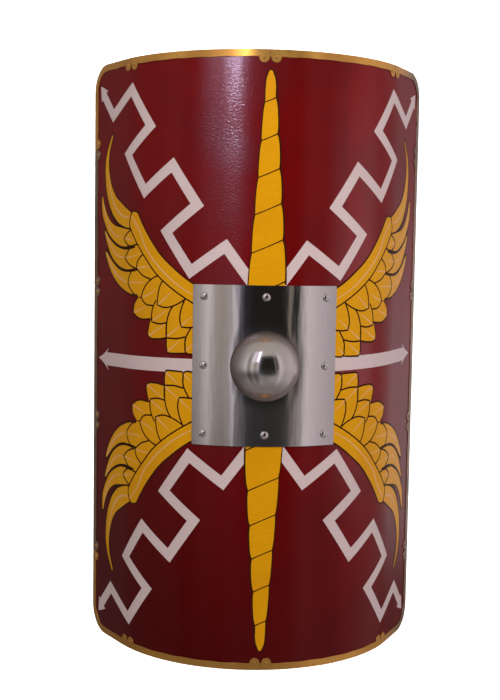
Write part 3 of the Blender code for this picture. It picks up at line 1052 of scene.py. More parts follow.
board_outlines = [face_outline(BOARD_INSET), circle(HAND_HOLE_RADIUS, HAND_HOLE_STEPS)]
lacquer_skin = plate("lacquer_skin", board_outlines, -LACQUER_DEPTH, 0)
plywood = plate("plywood", board_outlines, -BOARD_THICKNESS, -LACQUER_DEPTH)
hand_in(roll(lacquer_skin), RED_LACQUER, "painted_board", "board")
seen_on_lacquer.objects.link(lacquer_skin)
hand_in(roll(plywood), BIRCH_PLY, "painted_board")
print("board:", len(lacquer_skin.data.polygons), "+", len(plywood.data.polygons), "faces")

# %% [markdown]
# ## Brass edging
#
# The edging is thin brass channel, folded over the board's edge and cut to strips whose ends
# widen to a round lobe for a nail. The snips left its inner edge a little wavy. The channel is
# made as one flat ring: a slab with softened folds, a wavy window cut from it, round lobes joined
# on, and the board's seat cut out of its middle. Then it is sawn into its fourteen strips.

# %% Make the ring of channel
BRASS_SHEET = 1.0 * MM
SEAT_GAP = 0.3 * MM
FLANGE_WIDTH = 12 * MM
CHANNEL_TOP = SEAT_GAP + BRASS_SHEET
CHANNEL_BOTTOM = -(BOARD_THICKNESS + SEAT_GAP + BRASS_SHEET)
TOP_JOINT = 272 * MM
SIDE_JOINTS = (375 * MM, 125 * MM, -125 * MM, -375 * MM)
LOBE_RADIUS = 8.5 * MM
LOBE_STEPS = 32
LOBE_FROM_EDGE = 13 * MM
LOBE_FROM_JOINT = 10 * MM
FOLD_ROUNDING = 0.8 * MM
SNIP_SPACING = 6 * MM
SNIP_DEPTH = 0.5 * MM
# The snips' two waves, each as (share of the depth, turn from point to point, start).
SNIP_WAVES = ((0.6, 0.83, 0), (0.4, 0.31, 2))


def closer_points(outline, spacing):
    """The same outline with points no further apart than the spacing."""
    points = []
    for start, end in zip(outline, outline[1:] + outline[:1]):
        steps = max(1, math.ceil(math.dist(start, end) / spacing))
        for step in range(steps):
            share = step / steps
            points.append(tuple(a + (b - a) * share for a, b in zip(start, end)))
    return points


def hand_cut(outline, depth):
    """The outline as snips leave it, in and out by up to the depth."""
    points = []
    for index, (x, y) in enumerate(outline):
        before, after = outline[index - 1], outline[(index + 1) % len(outline)]
        run = Vector((after[0] - before[0], after[1] - before[1])).normalized()
        wave = sum(share * math.sin(turn * index + start) for share, turn, start in SNIP_WAVES)
        points.append((x + run.y * depth * wave, y - run.x * depth * wave))
    return points


def lobe_places():
    """The middle of each lobe in the flat, which is also where its nail goes."""
    across = FACE_HALF_LENGTH - LOBE_FROM_EDGE
    up = HALF_HEIGHT - LOBE_FROM_EDGE
    places = []
    for joint in (-TOP_JOINT, 0, TOP_JOINT):
        for side in (-LOBE_FROM_JOINT, LOBE_FROM_JOINT):
            places += [(joint + side, up), (joint + side, -up)]
    for joint in SIDE_JOINTS:
        for side in (-LOBE_FROM_JOINT, LOBE_FROM_JOINT):
            places += [(-across, joint + side), (across, joint + side)]
    return places


def make_channel_ring():
    """The whole edging in the flat, before it is sawn."""
    ring = plate("channel_ring", [face_outline(0)], CHANNEL_BOTTOM, CHANNEL_TOP)
    soften(ring, FOLD_ROUNDING, segments=3, sharper_than=60)
    low, high = CHANNEL_BOTTOM - FACET, CHANNEL_TOP + FACET
    inner_edge = hand_cut(closer_points(face_outline(FLANGE_WIDTH), SNIP_SPACING), SNIP_DEPTH)
    shape_with(ring, plate("window", [inner_edge], low, high), "DIFFERENCE")
    for along, up in lobe_places():
        bpy.ops.mesh.primitive_cylinder_add(
            vertices=LOBE_STEPS,
            radius=LOBE_RADIUS,
            depth=CHANNEL_TOP - CHANNEL_BOTTOM,
            location=(along, up, (CHANNEL_TOP + CHANNEL_BOTTOM) / 2),
        )
        lobe = bpy.context.object
        apply_place(lobe)
        shape_with(ring, lobe, "UNION")
    seat = plate("seat", [face_outline(BRASS_SHEET)], -BOARD_THICKNESS - SEAT_GAP, SEAT_GAP)
    shape_with(ring, seat, "DIFFERENCE")
    return ring


channel_ring = make_channel_ring()
print("ring of channel:", len(channel_ring.data.polygons), "faces,", len(lobe_places()), "lobes")

# %% Saw the ring into strips
JOINT_GAP = 0.3 * MM
# How far a strip's box reaches inwards and outwards from the board's edge.
BOX_INWARDS = 60 * MM
BOX_OUTWARDS = 20 * MM


def sawn_strip(name, left, right, low, high):
    """The part of the ring inside a box, with its ends closed."""
    strip = copy_of(channel_ring, name)
    edit(strip)
    saw_cuts = (
        ((left, 0, 0), (-1, 0, 0)),
        ((right, 0, 0), (1, 0, 0)),
        ((0, low, 0), (0, -1, 0)),
        ((0, high, 0), (0, 1, 0)),
    )
    for place, away in saw_cuts:
        bpy.ops.mesh.select_all(action="SELECT")
        bpy.ops.mesh.bisect(plane_co=place, plane_no=away, use_fill=True, clear_outer=True)
    close_up()
    return strip


def strip_boxes():
    """The name and the box of each of the fourteen strips, in the flat."""
    strips = []
    far_x, far_y = FACE_HALF_LENGTH + BOX_OUTWARDS, HALF_HEIGHT + BOX_OUTWARDS
    for end, up in (("top", 1), ("bottom", -1)):
        for side, across in (("left", -1), ("right", 1)):
            rise = sorted((up * (HALF_HEIGHT - BOX_INWARDS), up * far_y))
            reach = sorted((across * JOINT_GAP, across * (TOP_JOINT - JOINT_GAP)))
            strips.append((end + "_" + side, *reach, *rise))
            rise = sorted((up * (SIDE_JOINTS[0] + JOINT_GAP), up * far_y))
            reach = sorted((across * (TOP_JOINT + JOINT_GAP), across * far_x))
            strips.append(("corner_" + end + "_" + side, *reach, *rise))
    for side, across in (("left", -1), ("right", 1)):
        reach = sorted((across * (FACE_HALF_LENGTH - BOX_INWARDS), across * far_x))
        for part, high, low in zip(("upper", "middle", "lower"), SIDE_JOINTS, SIDE_JOINTS[1:]):
            strips.append((side + "_" + part, *reach, low + JOINT_GAP, high - JOINT_GAP))
    return strips


for name, *box in strip_boxes():
    strip = sawn_strip("brass_" + name, *box)
    # The side strips get the copy of the brass with painted shade.
    shaded_side = name.startswith(("left", "right"))
    hand_in(roll(strip), SHADED_BRASS if shaded_side else BRASS, "brass_edging", "edging_" + name)
    seen_on_brass.objects.link(strip)
bpy.data.objects.remove(channel_ring)
print("edging:", len(strip_boxes()), "strips sawn and rolled")

# %% [markdown]
# ## Nails and rivets
#
# Nails and rivets are turned pieces: a half outline is drawn and spun round the upright axis. One
# nail is made and copied into every lobe. The rivets come in two lengths, because the two at mid
# height also hold the grip.

# %% Turn the nails
NAIL_HEAD_RADIUS = 3.0 * MM
NAIL_HEAD_HEIGHT = 1.3 * MM
NAIL_SHANK_RADIUS = 1.1 * MM
NAIL_LOOSENESS = 0.05 * MM
# A tail's half outline is (radius, height) from where the tail begins.
NAIL_TAIL = ((1.9 * MM, 0), (1.2 * MM, -0.5 * MM), (0, -0.7 * MM))


def turned(name, profile, steps):
    """Spins a half outline of (radius, height) points round the upright axis."""
    mesh = bpy.data.meshes.new(name)
    points = [(radius, 0, height) for radius, height in profile]
    mesh.from_pydata(points, [(index, index + 1) for index in range(len(points) - 1)], [])
    piece = put_in_scene(name, mesh)
    edit(piece)
    bpy.ops.mesh.spin(steps=steps, angle=2 * math.pi, center=(0, 0, 0), axis=(0, 0, 1))
    close_up()
    return piece


def low_dome(radius, height, base, steps):
    """The half outline of a low dome, from its top to its rim."""
    angles = [math.radians(90) * step / steps for step in range(steps + 1)]
    return [(radius * math.sin(a), base + height * math.cos(a)) for a in angles]


def make_nail():
    """The nail that the others are copied from, with its tail turned over behind the board."""
    under_head = CHANNEL_TOP + NAIL_LOOSENESS
    tail = CHANNEL_BOTTOM - NAIL_LOOSENESS
    profile = low_dome(NAIL_HEAD_RADIUS, NAIL_HEAD_HEIGHT, under_head, steps=5)
    profile += [(NAIL_SHANK_RADIUS, under_head), (NAIL_SHANK_RADIUS, tail)]
    profile += [(radius, tail + height) for radius, height in NAIL_TAIL]
    return turned("nail_pattern", profile, steps=16)


def set_nails():
    """Puts a copy of the nail in each lobe, for the frame's nail that is in the same place."""
    pattern = make_nail()
    for node in sorted(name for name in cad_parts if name.startswith("edging_nail")):
        low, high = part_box(node)
        middle = (low + high) / 2
        along, up = min(
            lobe_places(),
            key=lambda place: math.dist((face_point(place[0])[0], place[1]), (middle.x, middle.y)),
        )
        nail = copy_of(pattern, "brass_nail_" + node[-2:])
        stand_on_face(nail, along, up)
        hand_in(nail, BRASS, "brass_edging", node)
    bpy.data.objects.remove(pattern)


set_nails()
print("nails set:", len(lobe_places()))

# %% Turn the rivets
STEEL_SHEET = 1.5 * MM
PLATE_TOP = SEAT_GAP + STEEL_SHEET
RIVET_RADIUS = 7 * MM
RIVET_HEIGHT = 4 * MM
RIVET_RIM = 0.7 * MM
RIVET_UNDERCUT = 0.3 * MM
RIVET_SHANK_RADIUS = 2.5 * MM
RIVET_TAIL = ((4.5 * MM, 0), (4.0 * MM, -1.1 * MM), (2.5 * MM, -1.7 * MM), (0, -1.8 * MM))
RIVET_ACROSS = 105.8 * MM
RIVET_UP = 116.5 * MM
GRIP_PAD = 14 * MM


def make_rivet(name, tail):
    """A rivet with a domed head on the plate and a flatter tail at the given height."""
    head_height = RIVET_HEIGHT - RIVET_RIM
    profile = low_dome(RIVET_RADIUS, head_height, PLATE_TOP + RIVET_RIM, steps=8)
    profile += [(RIVET_RADIUS - RIVET_UNDERCUT, PLATE_TOP)]
    profile += [(RIVET_SHANK_RADIUS, PLATE_TOP), (RIVET_SHANK_RADIUS, tail)]
    profile += [(radius, tail + height) for radius, height in RIVET_TAIL]
    return turned(name, profile, steps=32)


def set_rivets():
    """Puts in the eight rivets, the two at mid height through the grip's ends as well."""
    board_tail = -BOARD_THICKNESS - SEAT_GAP
    for row, up in (("top", RIVET_UP), ("middle", 0), ("bottom", -RIVET_UP)):
        for column, along in (("left", -RIVET_ACROSS), ("centre", 0), ("right", RIVET_ACROSS)):
            if (row, column) == ("middle", "centre"):
                continue
            tail = board_tail - GRIP_PAD - SEAT_GAP if row == "middle" else board_tail
            rivet = make_rivet("steel_rivet_" + row + "_" + column, tail)
            stand_on_face(rivet, along, up)
            hand_in(rivet, STEEL, "polished_steel", "rivet_" + row + "_" + column)


set_rivets()
print("rivets set, across and up:", RIVET_ACROSS, RIVET_UP)

# %% [markdown]
# ## Boss
#
# The boss is one sheet of steel with a hollow dome raised in it. Raising the dome pulled the
# sheet in a little around it, and hand work left the sheet slightly wavy, which the reflections
# show. The flat sheet is cut across in both directions for that. A point in its middle is pushed
# down with proportional editing, and a Displace modifier adds the waves. After rolling, an
# opening is cut in the sheet for a spun dome, which stands in it as a piece of its own. A smaller
# dome hollows it, and a thin bead closes the corner. The dome is a little flatter on top than a
# ball, as domes spun over a former are.

# %% Helper for the dome's shape
DOME_RADIUS = 58 * MM
DOME_HEIGHT = 54 * MM
DOME_POWER = 2.4
DOME_STEPS = 40
DOME_TURNS = 128
DOME_SKIRT = 16 * MM


def spun_dome(name, radius, height):
    """A solid dome with a flattish top and a straight skirt, which stands where the boss is."""
    profile = []
    for step in range(DOME_STEPS + 1):
        out = math.sin(math.radians(90) * step / DOME_STEPS)
        profile.append((radius * out, height * math.sqrt(1 - out**DOME_POWER)))
    profile += [(radius, -DOME_SKIRT), (0, -DOME_SKIRT)]
    dome = turned(name, profile, DOME_TURNS)
    dome.location.z = FACE_CROWN + PLATE_TOP
    apply_place(dome)
    return dome


print("dome:", 2 * DOME_RADIUS, "m across,", DOME_HEIGHT, "m high")

# %% Press the sheet
PLATE_HALF_WIDTH = 125.5 * MM
PLATE_HALF_HEIGHT = 136.4 * MM
PLATE_CORNER_RADIUS = 2 * MM
PRESSED_DEPTH = 1.6 * MM
PRESSED_REACH = 80 * MM
MIDDLE_WITHIN = 0.1 * MM
WAVE_LENGTH = 60 * MM
WAVE_HEIGHT = 0.25 * MM


def cut_across(sheet):
    """Cuts edges into the flat sheet in both directions, a facet apart."""
    crease(sheet)
    edit(sheet)
    rows = math.floor(PLATE_HALF_HEIGHT / FACET)
    for row in range(-rows, rows + 1):
        bpy.ops.mesh.select_all(action="SELECT")
        bpy.ops.mesh.bisect(plane_co=(0, row * FACET, 0), plane_no=(0, 1, 0))
    bpy.ops.mesh.select_all(action="DESELECT")
    bpy.ops.object.mode_set(mode="OBJECT")


def press_middle(sheet):
    """Pushes the middle of the sheet down, and what is round it less and less."""
    for vertex in sheet.data.vertices:
        vertex.select = vertex.co.xy.length < MIDDLE_WITHIN
    bpy.ops.object.mode_set(mode="EDIT")
    bpy.ops.transform.translate(
        value=(0, 0, -PRESSED_DEPTH),
        use_proportional_edit=True,
        proportional_edit_falloff="SMOOTH",
        proportional_size=PRESSED_REACH,
    )
    bpy.ops.object.mode_set(mode="OBJECT")


def wave_sheet(sheet):
    """Gives the sheet the slow waves of hand work."""
    waves = bpy.data.textures.new("sheet_waves", "CLOUDS")
    waves.noise_scale = WAVE_LENGTH
    waves.noise_depth = 1
    displace = sheet.modifiers.new("waves", "DISPLACE")
    displace.texture = waves
    displace.texture_coords = "LOCAL"
    displace.direction = "Z"
    displace.mid_level = 0.5
    displace.strength = WAVE_HEIGHT
    work_on(sheet)
    bpy.ops.object.modifier_apply(modifier="waves")


def make_sheet():
    """The sheet round the dome, rolled, with an opening that the dome's wall fills."""
    outline = rounded_rectangle(
        PLATE_HALF_WIDTH, PLATE_HALF_HEIGHT, PLATE_CORNER_RADIUS, steps=3
    )
    sheet = plate("boss_sheet", [outline], SEAT_GAP, PLATE_TOP)
    cut_across(sheet)
    press_middle(sheet)
    wave_sheet(sheet)
    roll(sheet)
    shape_with(sheet, spun_dome("opening", DOME_RADIUS - STEEL_SHEET / 2, DOME_HEIGHT), "DIFFERENCE")
    return sheet


boss_sheet = make_sheet()
hand_in(boss_sheet, STEEL, "polished_steel", "boss_plate")
print("sheet:", len(boss_sheet.data.polygons), "faces")

# %% Raise the dome
BEAD_RADIUS = 0.9 * MM
BEAD_OUT = 0.6 * MM
BEAD_DOWN = 0.3 * MM


def make_dome():
    """The dome's shell down to the sheet, with the bead that closes the corner."""
    reach = 2 * DOME_RADIUS
    square = [(-reach, -reach), (reach, -reach), (reach, reach), (-reach, reach)]
    under = roll(plate("under", [square], -DOME_RADIUS, (SEAT_GAP + PLATE_TOP) / 2))
    dome = spun_dome("dome", DOME_RADIUS, DOME_HEIGHT)
    shape_with(dome, under, "DIFFERENCE")
    hollow = spun_dome("hollow", DOME_RADIUS - STEEL_SHEET, DOME_HEIGHT - STEEL_SHEET)
    shape_with(dome, hollow, "DIFFERENCE")
    bpy.ops.mesh.primitive_torus_add(
        major_segments=DOME_TURNS,
        minor_segments=12,
        major_radius=DOME_RADIUS + BEAD_OUT,
        minor_radius=BEAD_RADIUS,
        location=(0, 0, PLATE_TOP - BEAD_DOWN),
    )
    bead = bpy.context.object
    apply_place(bead)
    return join([dome, roll(bead)], "boss_dome")


boss_dome = make_dome()
hand_in(boss_dome, SPUN_STEEL, "polished_steel", "boss_plate")
print("dome:", len(boss_dome.data.polygons), "faces")

# %% [markdown]
# ## Grip
#
# The grip is a stout bar across the hand hole. Its ends lie along the back of the board under
# rivets, and its rear steps down to a rounded hand bar. It is drawn from the side, cut as a
# plate, stood up, and softened all round as a spokeshave would.

# %% Shape the grip
GRIP_WIDTH = 32 * MM
GRIP_DEPTH = 24 * MM
GRIP_SHOULDER = 70 * MM
GRIP_ROUNDING = 5 * MM
GRIP_FROM_ANGLE = math.radians(15)
GRIP_TO_ANGLE = math.radians(30)
GRIP_STEPS = 6


def grip_side():
    """The right half of the grip's side view, as x and z."""
    seat = FACE_RADIUS - BOARD_THICKNESS - SEAT_GAP
    spread = GRIP_TO_ANGLE - GRIP_FROM_ANGLE
    angles = [GRIP_FROM_ANGLE + spread * step / GRIP_STEPS for step in range(GRIP_STEPS + 1)]
    front = [(seat * math.sin(a), ARC_CENTRE + seat * math.cos(a)) for a in angles]
    lean = face_angle(RIVET_ACROSS)
    pad = seat - GRIP_PAD
    pad_x, pad_z = pad * math.sin(lean), ARC_CENTRE + pad * math.cos(lean)
    end_x = front[-1][0] - GRIP_PAD / 2 * math.sin(lean)
    shoulder_x = GRIP_SHOULDER + GRIP_DEPTH / 2
    rear = [(x, pad_z - (x - pad_x) * math.tan(lean)) for x in (end_x, shoulder_x)]
    return front + rear + [(GRIP_SHOULDER, front[0][1] - GRIP_DEPTH)]


def make_grip():
    """The bar, cut from its side view, stood up and softened."""
    right = grip_side()
    left = [(-x, z) for x, z in reversed(right)]
    grip = plate("grip_bar", [right + left], -GRIP_WIDTH / 2, GRIP_WIDTH / 2)
    grip.rotation_euler = (math.radians(90), 0, 0)
    apply_place(grip)
    soften(grip, GRIP_ROUNDING, segments=5, sharper_than=50)
    return grip


grip = make_grip()
hand_in(grip, GRIP_WOOD, "grip_wood", "grip")
print("grip:", len(grip.data.polygons), "faces")

# %% [markdown]
# ## Painted device
#
# The device is a winged thunderbolt: zigzag bolts in the four corners, a level arrow across,
# a jointed yellow spindle up the middle and four wings. A signwriter fills the areas first, then
# draws the black lines over their borders, and last the pale lights. Each area is a thin closed
# plate from an outline of smooth stretches that meet at corners. Each line is a curve with a
# round bevel, flattened like a bead of paint, and its thickness swells and tapers from point to
# point. Outlines are given in millimetres in the flat.

# %% Helpers for painting
PAINT_DEPTH = 0.10 * MM
BAND_DEPTH = 0.08 * MM
LEVEL_STEP = 0.002 * MM
LINE_DEPTH = 0.09 * MM
LINE_LIFT = 0.01 * MM
CURVE_STEPS = 5


def add_stroke(drawing, points, widths=None, closed=False, corners=()):
    """Adds a smooth line to a drawing, with sharp corners at the named points."""
    line = drawing.splines.new("BEZIER")
    line.bezier_points.add(len(points) - 1)
    line.resolution_u = CURVE_STEPS
    line.use_cyclic_u = closed
    for index, (point, (x, y)) in enumerate(zip(line.bezier_points, points)):
        point.co = (x * MM, y * MM, 0)
        kind = "VECTOR" if index in corners else "AUTO"
        point.handle_left_type = kind
        point.handle_right_type = kind
        point.radius = widths[index] if widths else 1.0


def run_together(stretches):
    """The points of stretches that follow each other, and which of the points are corners."""
    points = []
    corners = []
    for stretch in stretches:
        corners.append(len(points))
        points += stretch[:-1]
    return points, corners


def area(name, stretches, level=0):
    """A painted area. Its level lifts it a hair over the areas that it covers."""
    points, corners = run_together(stretches)
    drawing = bpy.data.curves.new(name, "CURVE")
    drawing.dimensions = "2D"
    add_stroke(drawing, points, closed=True, corners=corners)
    return cut_from(drawing, name, 0, PAINT_DEPTH + level * LEVEL_STEP)


def ribbon(name, middle, width):
    """A painted band of even width along a line of straight runs, with mitred corners."""
    left = []
    right = []
    for index, point in enumerate(middle):
        here = Vector(point)
        before = Vector(middle[max(index - 1, 0)])
        after = Vector(middle[min(index + 1, len(middle) - 1)])
        into = (here - before).normalized() if index else (after - here).normalized()
        out = (after - here).normalized() if index < len(middle) - 1 else into
        across = (into + out).normalized()
        side = Vector((-across.y, across.x)) * width / 2 / across.dot(into)
        left.append(tuple((here + side) * MM))
        right.append(tuple((here - side) * MM))
    return plate(name, [left + right[::-1]], 0, BAND_DEPTH)


def lines(name, strokes):
    """Painted lines. Each stroke is (points, half widths, corners)."""
    drawing = bpy.data.curves.new(name, "CURVE")
    drawing.dimensions = "3D"
    drawing.bevel_depth = 1 * MM
    drawing.bevel_resolution = 1
    drawing.use_fill_caps = True
    for points, widths, corners in strokes:
        add_stroke(drawing, points, widths, corners=corners)
    piece = put_in_scene(name, drawing)
    work_on(piece)
    bpy.ops.object.convert(target="MESH")
    piece.scale.z = LINE_DEPTH / (1 * MM)
    piece.location.z = PAINT_DEPTH + LINE_LIFT
    apply_place(piece)
    edit(piece)
    close_up()
    return piece


def mirrored(piece, name, across, up):
    """A copy mirrored across the middle lines where across or up is -1."""
    copied = copy_of(piece, name)
    copied.scale = (across, up, 1)
    apply_place(copied)
    edit(copied)
    close_up()
    return copied


QUARTERS = (
    ("upper_right", 1, 1),
    ("upper_left", -1, 1),
    ("lower_right", 1, -1),
    ("lower_left", -1, -1),
)
print("painting in", len(QUARTERS), "quarters")

# %% Paint the bolts
BOLT_WIDTH = 18
BOLT_CORNERS = [
    (22, 136), (70, 200.5), (132, 157.5), (181, 224), (121, 269.5), (169, 336.7),
    (232, 293.6), (282, 359.4), (219, 404.9), (271, 470.7), (338.5, 431), (377, 472),
]
BOLT_HEAD = [
    [(388, 488), (376, 484), (360, 477.5)],
    [(360, 477.5), (368, 474), (377, 468), (381, 463), (385.5, 460)],
    [(385.5, 460), (387, 474), (388, 488)],
]

bolt = join([ribbon("bolt", BOLT_CORNERS, BOLT_WIDTH), area("bolt_head", BOLT_HEAD)], "bolt")
for quarter, across, up in QUARTERS:
    mirror_image = mirrored(bolt, "bolt_" + quarter, across, up)
    hand_in(roll(mirror_image), WHITE_ENAMEL, "painted_board")
bpy.data.objects.remove(bolt)
print("bolts painted")

# %% Paint the level arrow
ARROW_WIDTH = 24
ARROW_LEFT = (-360, -7.5)
ARROW_RIGHT = (356, 7.2)
ARROW_HEAD = [
    [(32, 0), (12, 8), (-8, 20)],
    [(-8, 20), (-1, 12)],
    [(-1, 12), (-1, -12)],
    [(-1, -12), (-8, -20)],
    [(-8, -20), (12, -8), (32, 0)],
]


def arrow_head(name, place, facing):
    """The barbed head at one end of the arrow."""
    stretches = [[(place[0] + facing * x, place[1] + y) for x, y in part] for part in ARROW_HEAD]
    return area(name, stretches)


shaft = ribbon("arrow_shaft", [ARROW_LEFT, ARROW_RIGHT], ARROW_WIDTH)
heads = [arrow_head("head_left", ARROW_LEFT, -1), arrow_head("head_right", ARROW_RIGHT, 1)]
arrow = join([shaft] + heads, "level_arrow")
hand_in(roll(arrow), WHITE_ENAMEL, "painted_board")
print("level arrow painted")

# %% Paint the spindle
SPINDLE_TIP = 492.5
SPINDLE_JOINTS = (443, 382, 323, 263.5, 201.4, 129.5)
JOINT_SLOPE = 0.44
SPINDLE_HALF_WIDTH, SPINDLE_WIDEST, SPINDLE_TAPER = 31.2, 140, 0.07
SPINDLE_OFF_MIDDLE, SPINDLE_LEAN = -0.5, 0.004
SPINDLE_FOOT = SPINDLE_JOINTS[-1] - 6
# A segment's side swells at some shares of its height by some millimetres.
SWELLINGS = ((0.12, 1.0), (0.5, 2.2), (0.85, 1.6))
LEFT_SWELLING = 0.6
# Below the tip, each side has points at (half width, height, how far the right one is raised).
TIP_SIDES = ((9.5, 465, 4), (6.0, 484.5, 0))
# Half widths of the black lines.
RIGHT_LINE, TIP_LINE, LEFT_LINE = 1.5, 1.2, 1.0
JOINT_LINE = (1.0, 0.9, 1.2)


def spindle_half_width(up):
    """The spindle narrows from the plate to its tip."""
    return SPINDLE_HALF_WIDTH - SPINDLE_TAPER * (up - SPINDLE_WIDEST)


def spindle_middle(up):
    """The spindle leans a little: its middle line at a height, in the upper half."""
    return SPINDLE_OFF_MIDDLE + SPINDLE_LEAN * up


def joint_end(joint, side):
    """Where a joint meets one side of the spindle."""
    half = spindle_half_width(joint)
    return spindle_middle(joint) + side * half, joint + side * half * JOINT_SLOPE


def spindle_sides():
    """The right and left sides from the plate up to the tip, with a swelling in each segment."""
    sides = []
    middle = spindle_middle(SPINDLE_TIP)
    for side, fullness in ((1, 1), (-1, LEFT_SWELLING)):
        points = [joint_end(SPINDLE_FOOT, side)]
        for low, high in zip(SPINDLE_JOINTS[::-1], SPINDLE_JOINTS[::-1][1:]):
            (x0, y0), (x1, y1) = joint_end(low, side), joint_end(high, side)
            for share, swelling in SWELLINGS:
                bulge = side * fullness * swelling
                points.append((x0 + (x1 - x0) * share + bulge, y0 + (y1 - y0) * share))
            points.append((x1, y1))
        points += [(middle + side * half, up + side * raised) for half, up, raised in TIP_SIDES]
        sides.append(points)
    return sides


def paint_spindle():
    """The yellow area and the black lines of the upper half."""
    right, left = spindle_sides()
    tip = (spindle_middle(SPINDLE_TIP), SPINDLE_TIP)
    border = right + [tip] + left[::-1]
    fill = area("spindle_fill", [border + [border[0]]])
    widths = [RIGHT_LINE] * len(right) + [TIP_LINE] + [LEFT_LINE] * len(left)
    strokes = [(border, widths, ())]
    for joint in SPINDLE_JOINTS:
        (x0, y0), (x1, y1) = joint_end(joint, -1), joint_end(joint, 1)
        sag = ((x0 + x1) / 2 + 1, (y0 + y1) / 2)
        strokes.append(([(x0, y0), sag, (x1, y1)], JOINT_LINE, ()))
    return fill, lines("spindle_lines", strokes)


fill, outline = paint_spindle()
for name, turn in (("upper", 0), ("lower", math.pi)):
    for pattern, kind, material in ((fill, "gold", YELLOW_ENAMEL), (outline, "black", BLACK_ENAMEL)):
        copied = copy_of(pattern, "spindle_" + kind + "_" + name)
        copied.rotation_euler.z = turn
        apply_place(copied)
        hand_in(roll(copied), material, "painted_board")
bpy.data.objects.remove(fill)
bpy.data.objects.remove(outline)
print("spindle painted")

# %% [markdown]
# A wing has four long flight feathers at its outer end, three rows of short feathers that lap
# over them, and a leading band from the boss to a rounded cap. The areas are listed from the
# lowest to the uppermost, and each gets a slightly higher level. The last stretch of each outline
# is the part that a neighbour covers, and it gets no black line. The pattern is laid out for the
# upper right quarter. A signwriter pounces it into each quarter in turn, and no two come out quite
# alike: a wing may be turned a little about its elbow and slid, and its long tips may reach less
# far.

# %% Draw the feathers
# Each outline is a list of smooth stretches, which meet at corners.
FLIGHT_FEATHERS = {
    "flight_4": [
        [(250, 114), (262, 113), (290, 119), (318, 131), (340, 147), (358, 168), (364, 178), (368, 187)],
        [(368, 187), (366.5, 190.5), (362, 190)],
        [(362, 190), (355, 185), (335, 170), (305, 157), (262, 156), (250, 158)],
        [(250, 158), (250, 114)],
    ],
    "flight_3": [
        [(262, 158), (290, 157), (320, 165), (345, 181.5), (362, 204), (371.5, 223)],
        [(371.5, 223), (370.5, 227.5), (366, 228)],
        [(366, 228), (358, 220), (330, 203), (300, 195), (273, 195), (258, 198)],
        [(258, 198), (262, 158)],
    ],
    "flight_2": [
        [(266, 200), (295, 197), (325, 202), (350, 216), (368, 235), (381, 258), (384, 282)],
        [(384, 282), (380.5, 291), (376, 288)],
        [(376, 288), (370, 272), (355, 252), (335, 239), (305, 233), (273, 229)],
        [(273, 229), (266, 200)],
    ],
    "flight_1": [
        [(274, 229.5), (290, 231), (330, 247), (357, 280), (369, 320), (366, 360), (347, 394)],
        [(347, 394), (341.5, 398.5), (338, 395)],
        [(338, 395), (353, 360), (350, 325), (330, 292), (300, 274), (269, 258)],
        [(269, 258), (262, 244), (274, 229.5)],
    ],
}
SHORT_FEATHERS = {
    "scale_1": [
        [(272.5, 227.5), (286, 219.5), (293, 212.5), (282, 201.5), (269, 197)],
        [(269, 197), (245, 200), (272.5, 227.5)],
    ],
    "scale_2": [
        [(250, 202), (259.4, 201), (276.5, 193), (291, 177.7)],
        [(291, 177.7), (276.5, 167), (252.7, 159)],
        [(252.7, 159), (236, 176), (250, 202)],
    ],
    "scale_13": [
        [(141, 18), (163.5, 16.8), (175, 17.8), (178, 24), (178.5, 43)],
        [(178.5, 43), (160, 50), (136, 40), (141, 18)],
    ],
    "scale_12": [
        [(120, 18), (138.6, 19), (140.6, 28), (140, 42), (129.5, 62.5)],
        [(129.5, 62.5), (120, 62.5)],
        [(120, 62.5), (120, 18)],
    ],
    "scale_9": [
        [(216, 72), (220.4, 56.1), (221.4, 46.6), (218, 42), (198.6, 39.7), (178.6, 42.8)],
        [(178.6, 42.8), (178.6, 70)],
        [(178.6, 70), (216, 72)],
    ],
    "scale_10": [
        [(165.3, 98), (172, 88.4), (178.6, 65.6), (179, 42.8)],
        [(179, 42.8), (158.7, 42.4), (140, 46)],
        [(140, 46), (128, 63), (136, 106), (152, 107), (165.3, 98)],
    ],
    "scale_7": [
        [(249, 109.5), (259.5, 97), (261.7, 82)],
        [(261.7, 82), (242.3, 72.8), (215.7, 73.5)],
        [(215.7, 73.5), (205, 98), (249, 109.5)],
    ],
    "scale_8": [
        [(202, 107), (209, 95), (212.5, 78), (211.5, 68.6)],
        [(211.5, 68.6), (195, 66.2), (178.6, 68.5)],
        [(178.6, 68.5), (174.5, 83), (165.3, 97.9), (202, 107)],
    ],
    "scale_11": [
        [(142, 110), (149.2, 92.2), (151.3, 74), (148.2, 62.7)],
        [(148.2, 62.7), (137.8, 62), (120, 63.5)],
        [(120, 63.5), (120, 112), (142, 110)],
    ],
    "scale_3": [
        [(235, 185.5), (242.3, 180.5), (251.8, 169), (252.7, 160)],
        [(252.7, 160), (237, 149), (214.7, 142)],
        [(214.7, 142), (196, 149), (235, 185.5)],
    ],
    "scale_4": [
        [(255, 160.5), (267, 155.8), (277.5, 142), (279, 131)],
        [(279, 131), (263.2, 116.9), (248, 110.5)],
        [(248, 110.5), (232, 114), (212, 142), (255, 160.5)],
    ],
    "scale_5": [
        [(197, 149.5), (214, 142.2), (231.8, 126.4), (239.4, 110.5)],
        [(239.4, 110.5), (229, 99.8), (207, 96.6)],
        [(207, 96.6), (194, 108), (184, 142), (197, 149.5)],
    ],
    "scale_6": [
        [(187, 141.5), (193.5, 131.5), (198.6, 111.2), (199.5, 99)],
        [(199.5, 99), (183, 94.8), (160, 100), (140, 111)],
        [(140, 111), (150, 125), (187, 141.5)],
    ],
}
LEADING_BAND = {
    "band": [
        [(120, 133.5), (140, 145), (165, 163), (191, 183.5), (212, 206), (235, 234.7), (250, 256.5)],
        [(250, 256.5), (259, 260), (268, 258), (273.5, 249), (275.6, 237), (272, 228)],
        [(272, 228), (250, 201.4), (229, 178.6), (206, 155), (179.6, 135), (149, 116), (120, 100.5)],
        [(120, 100.5), (120, 133.5)],
    ],
}
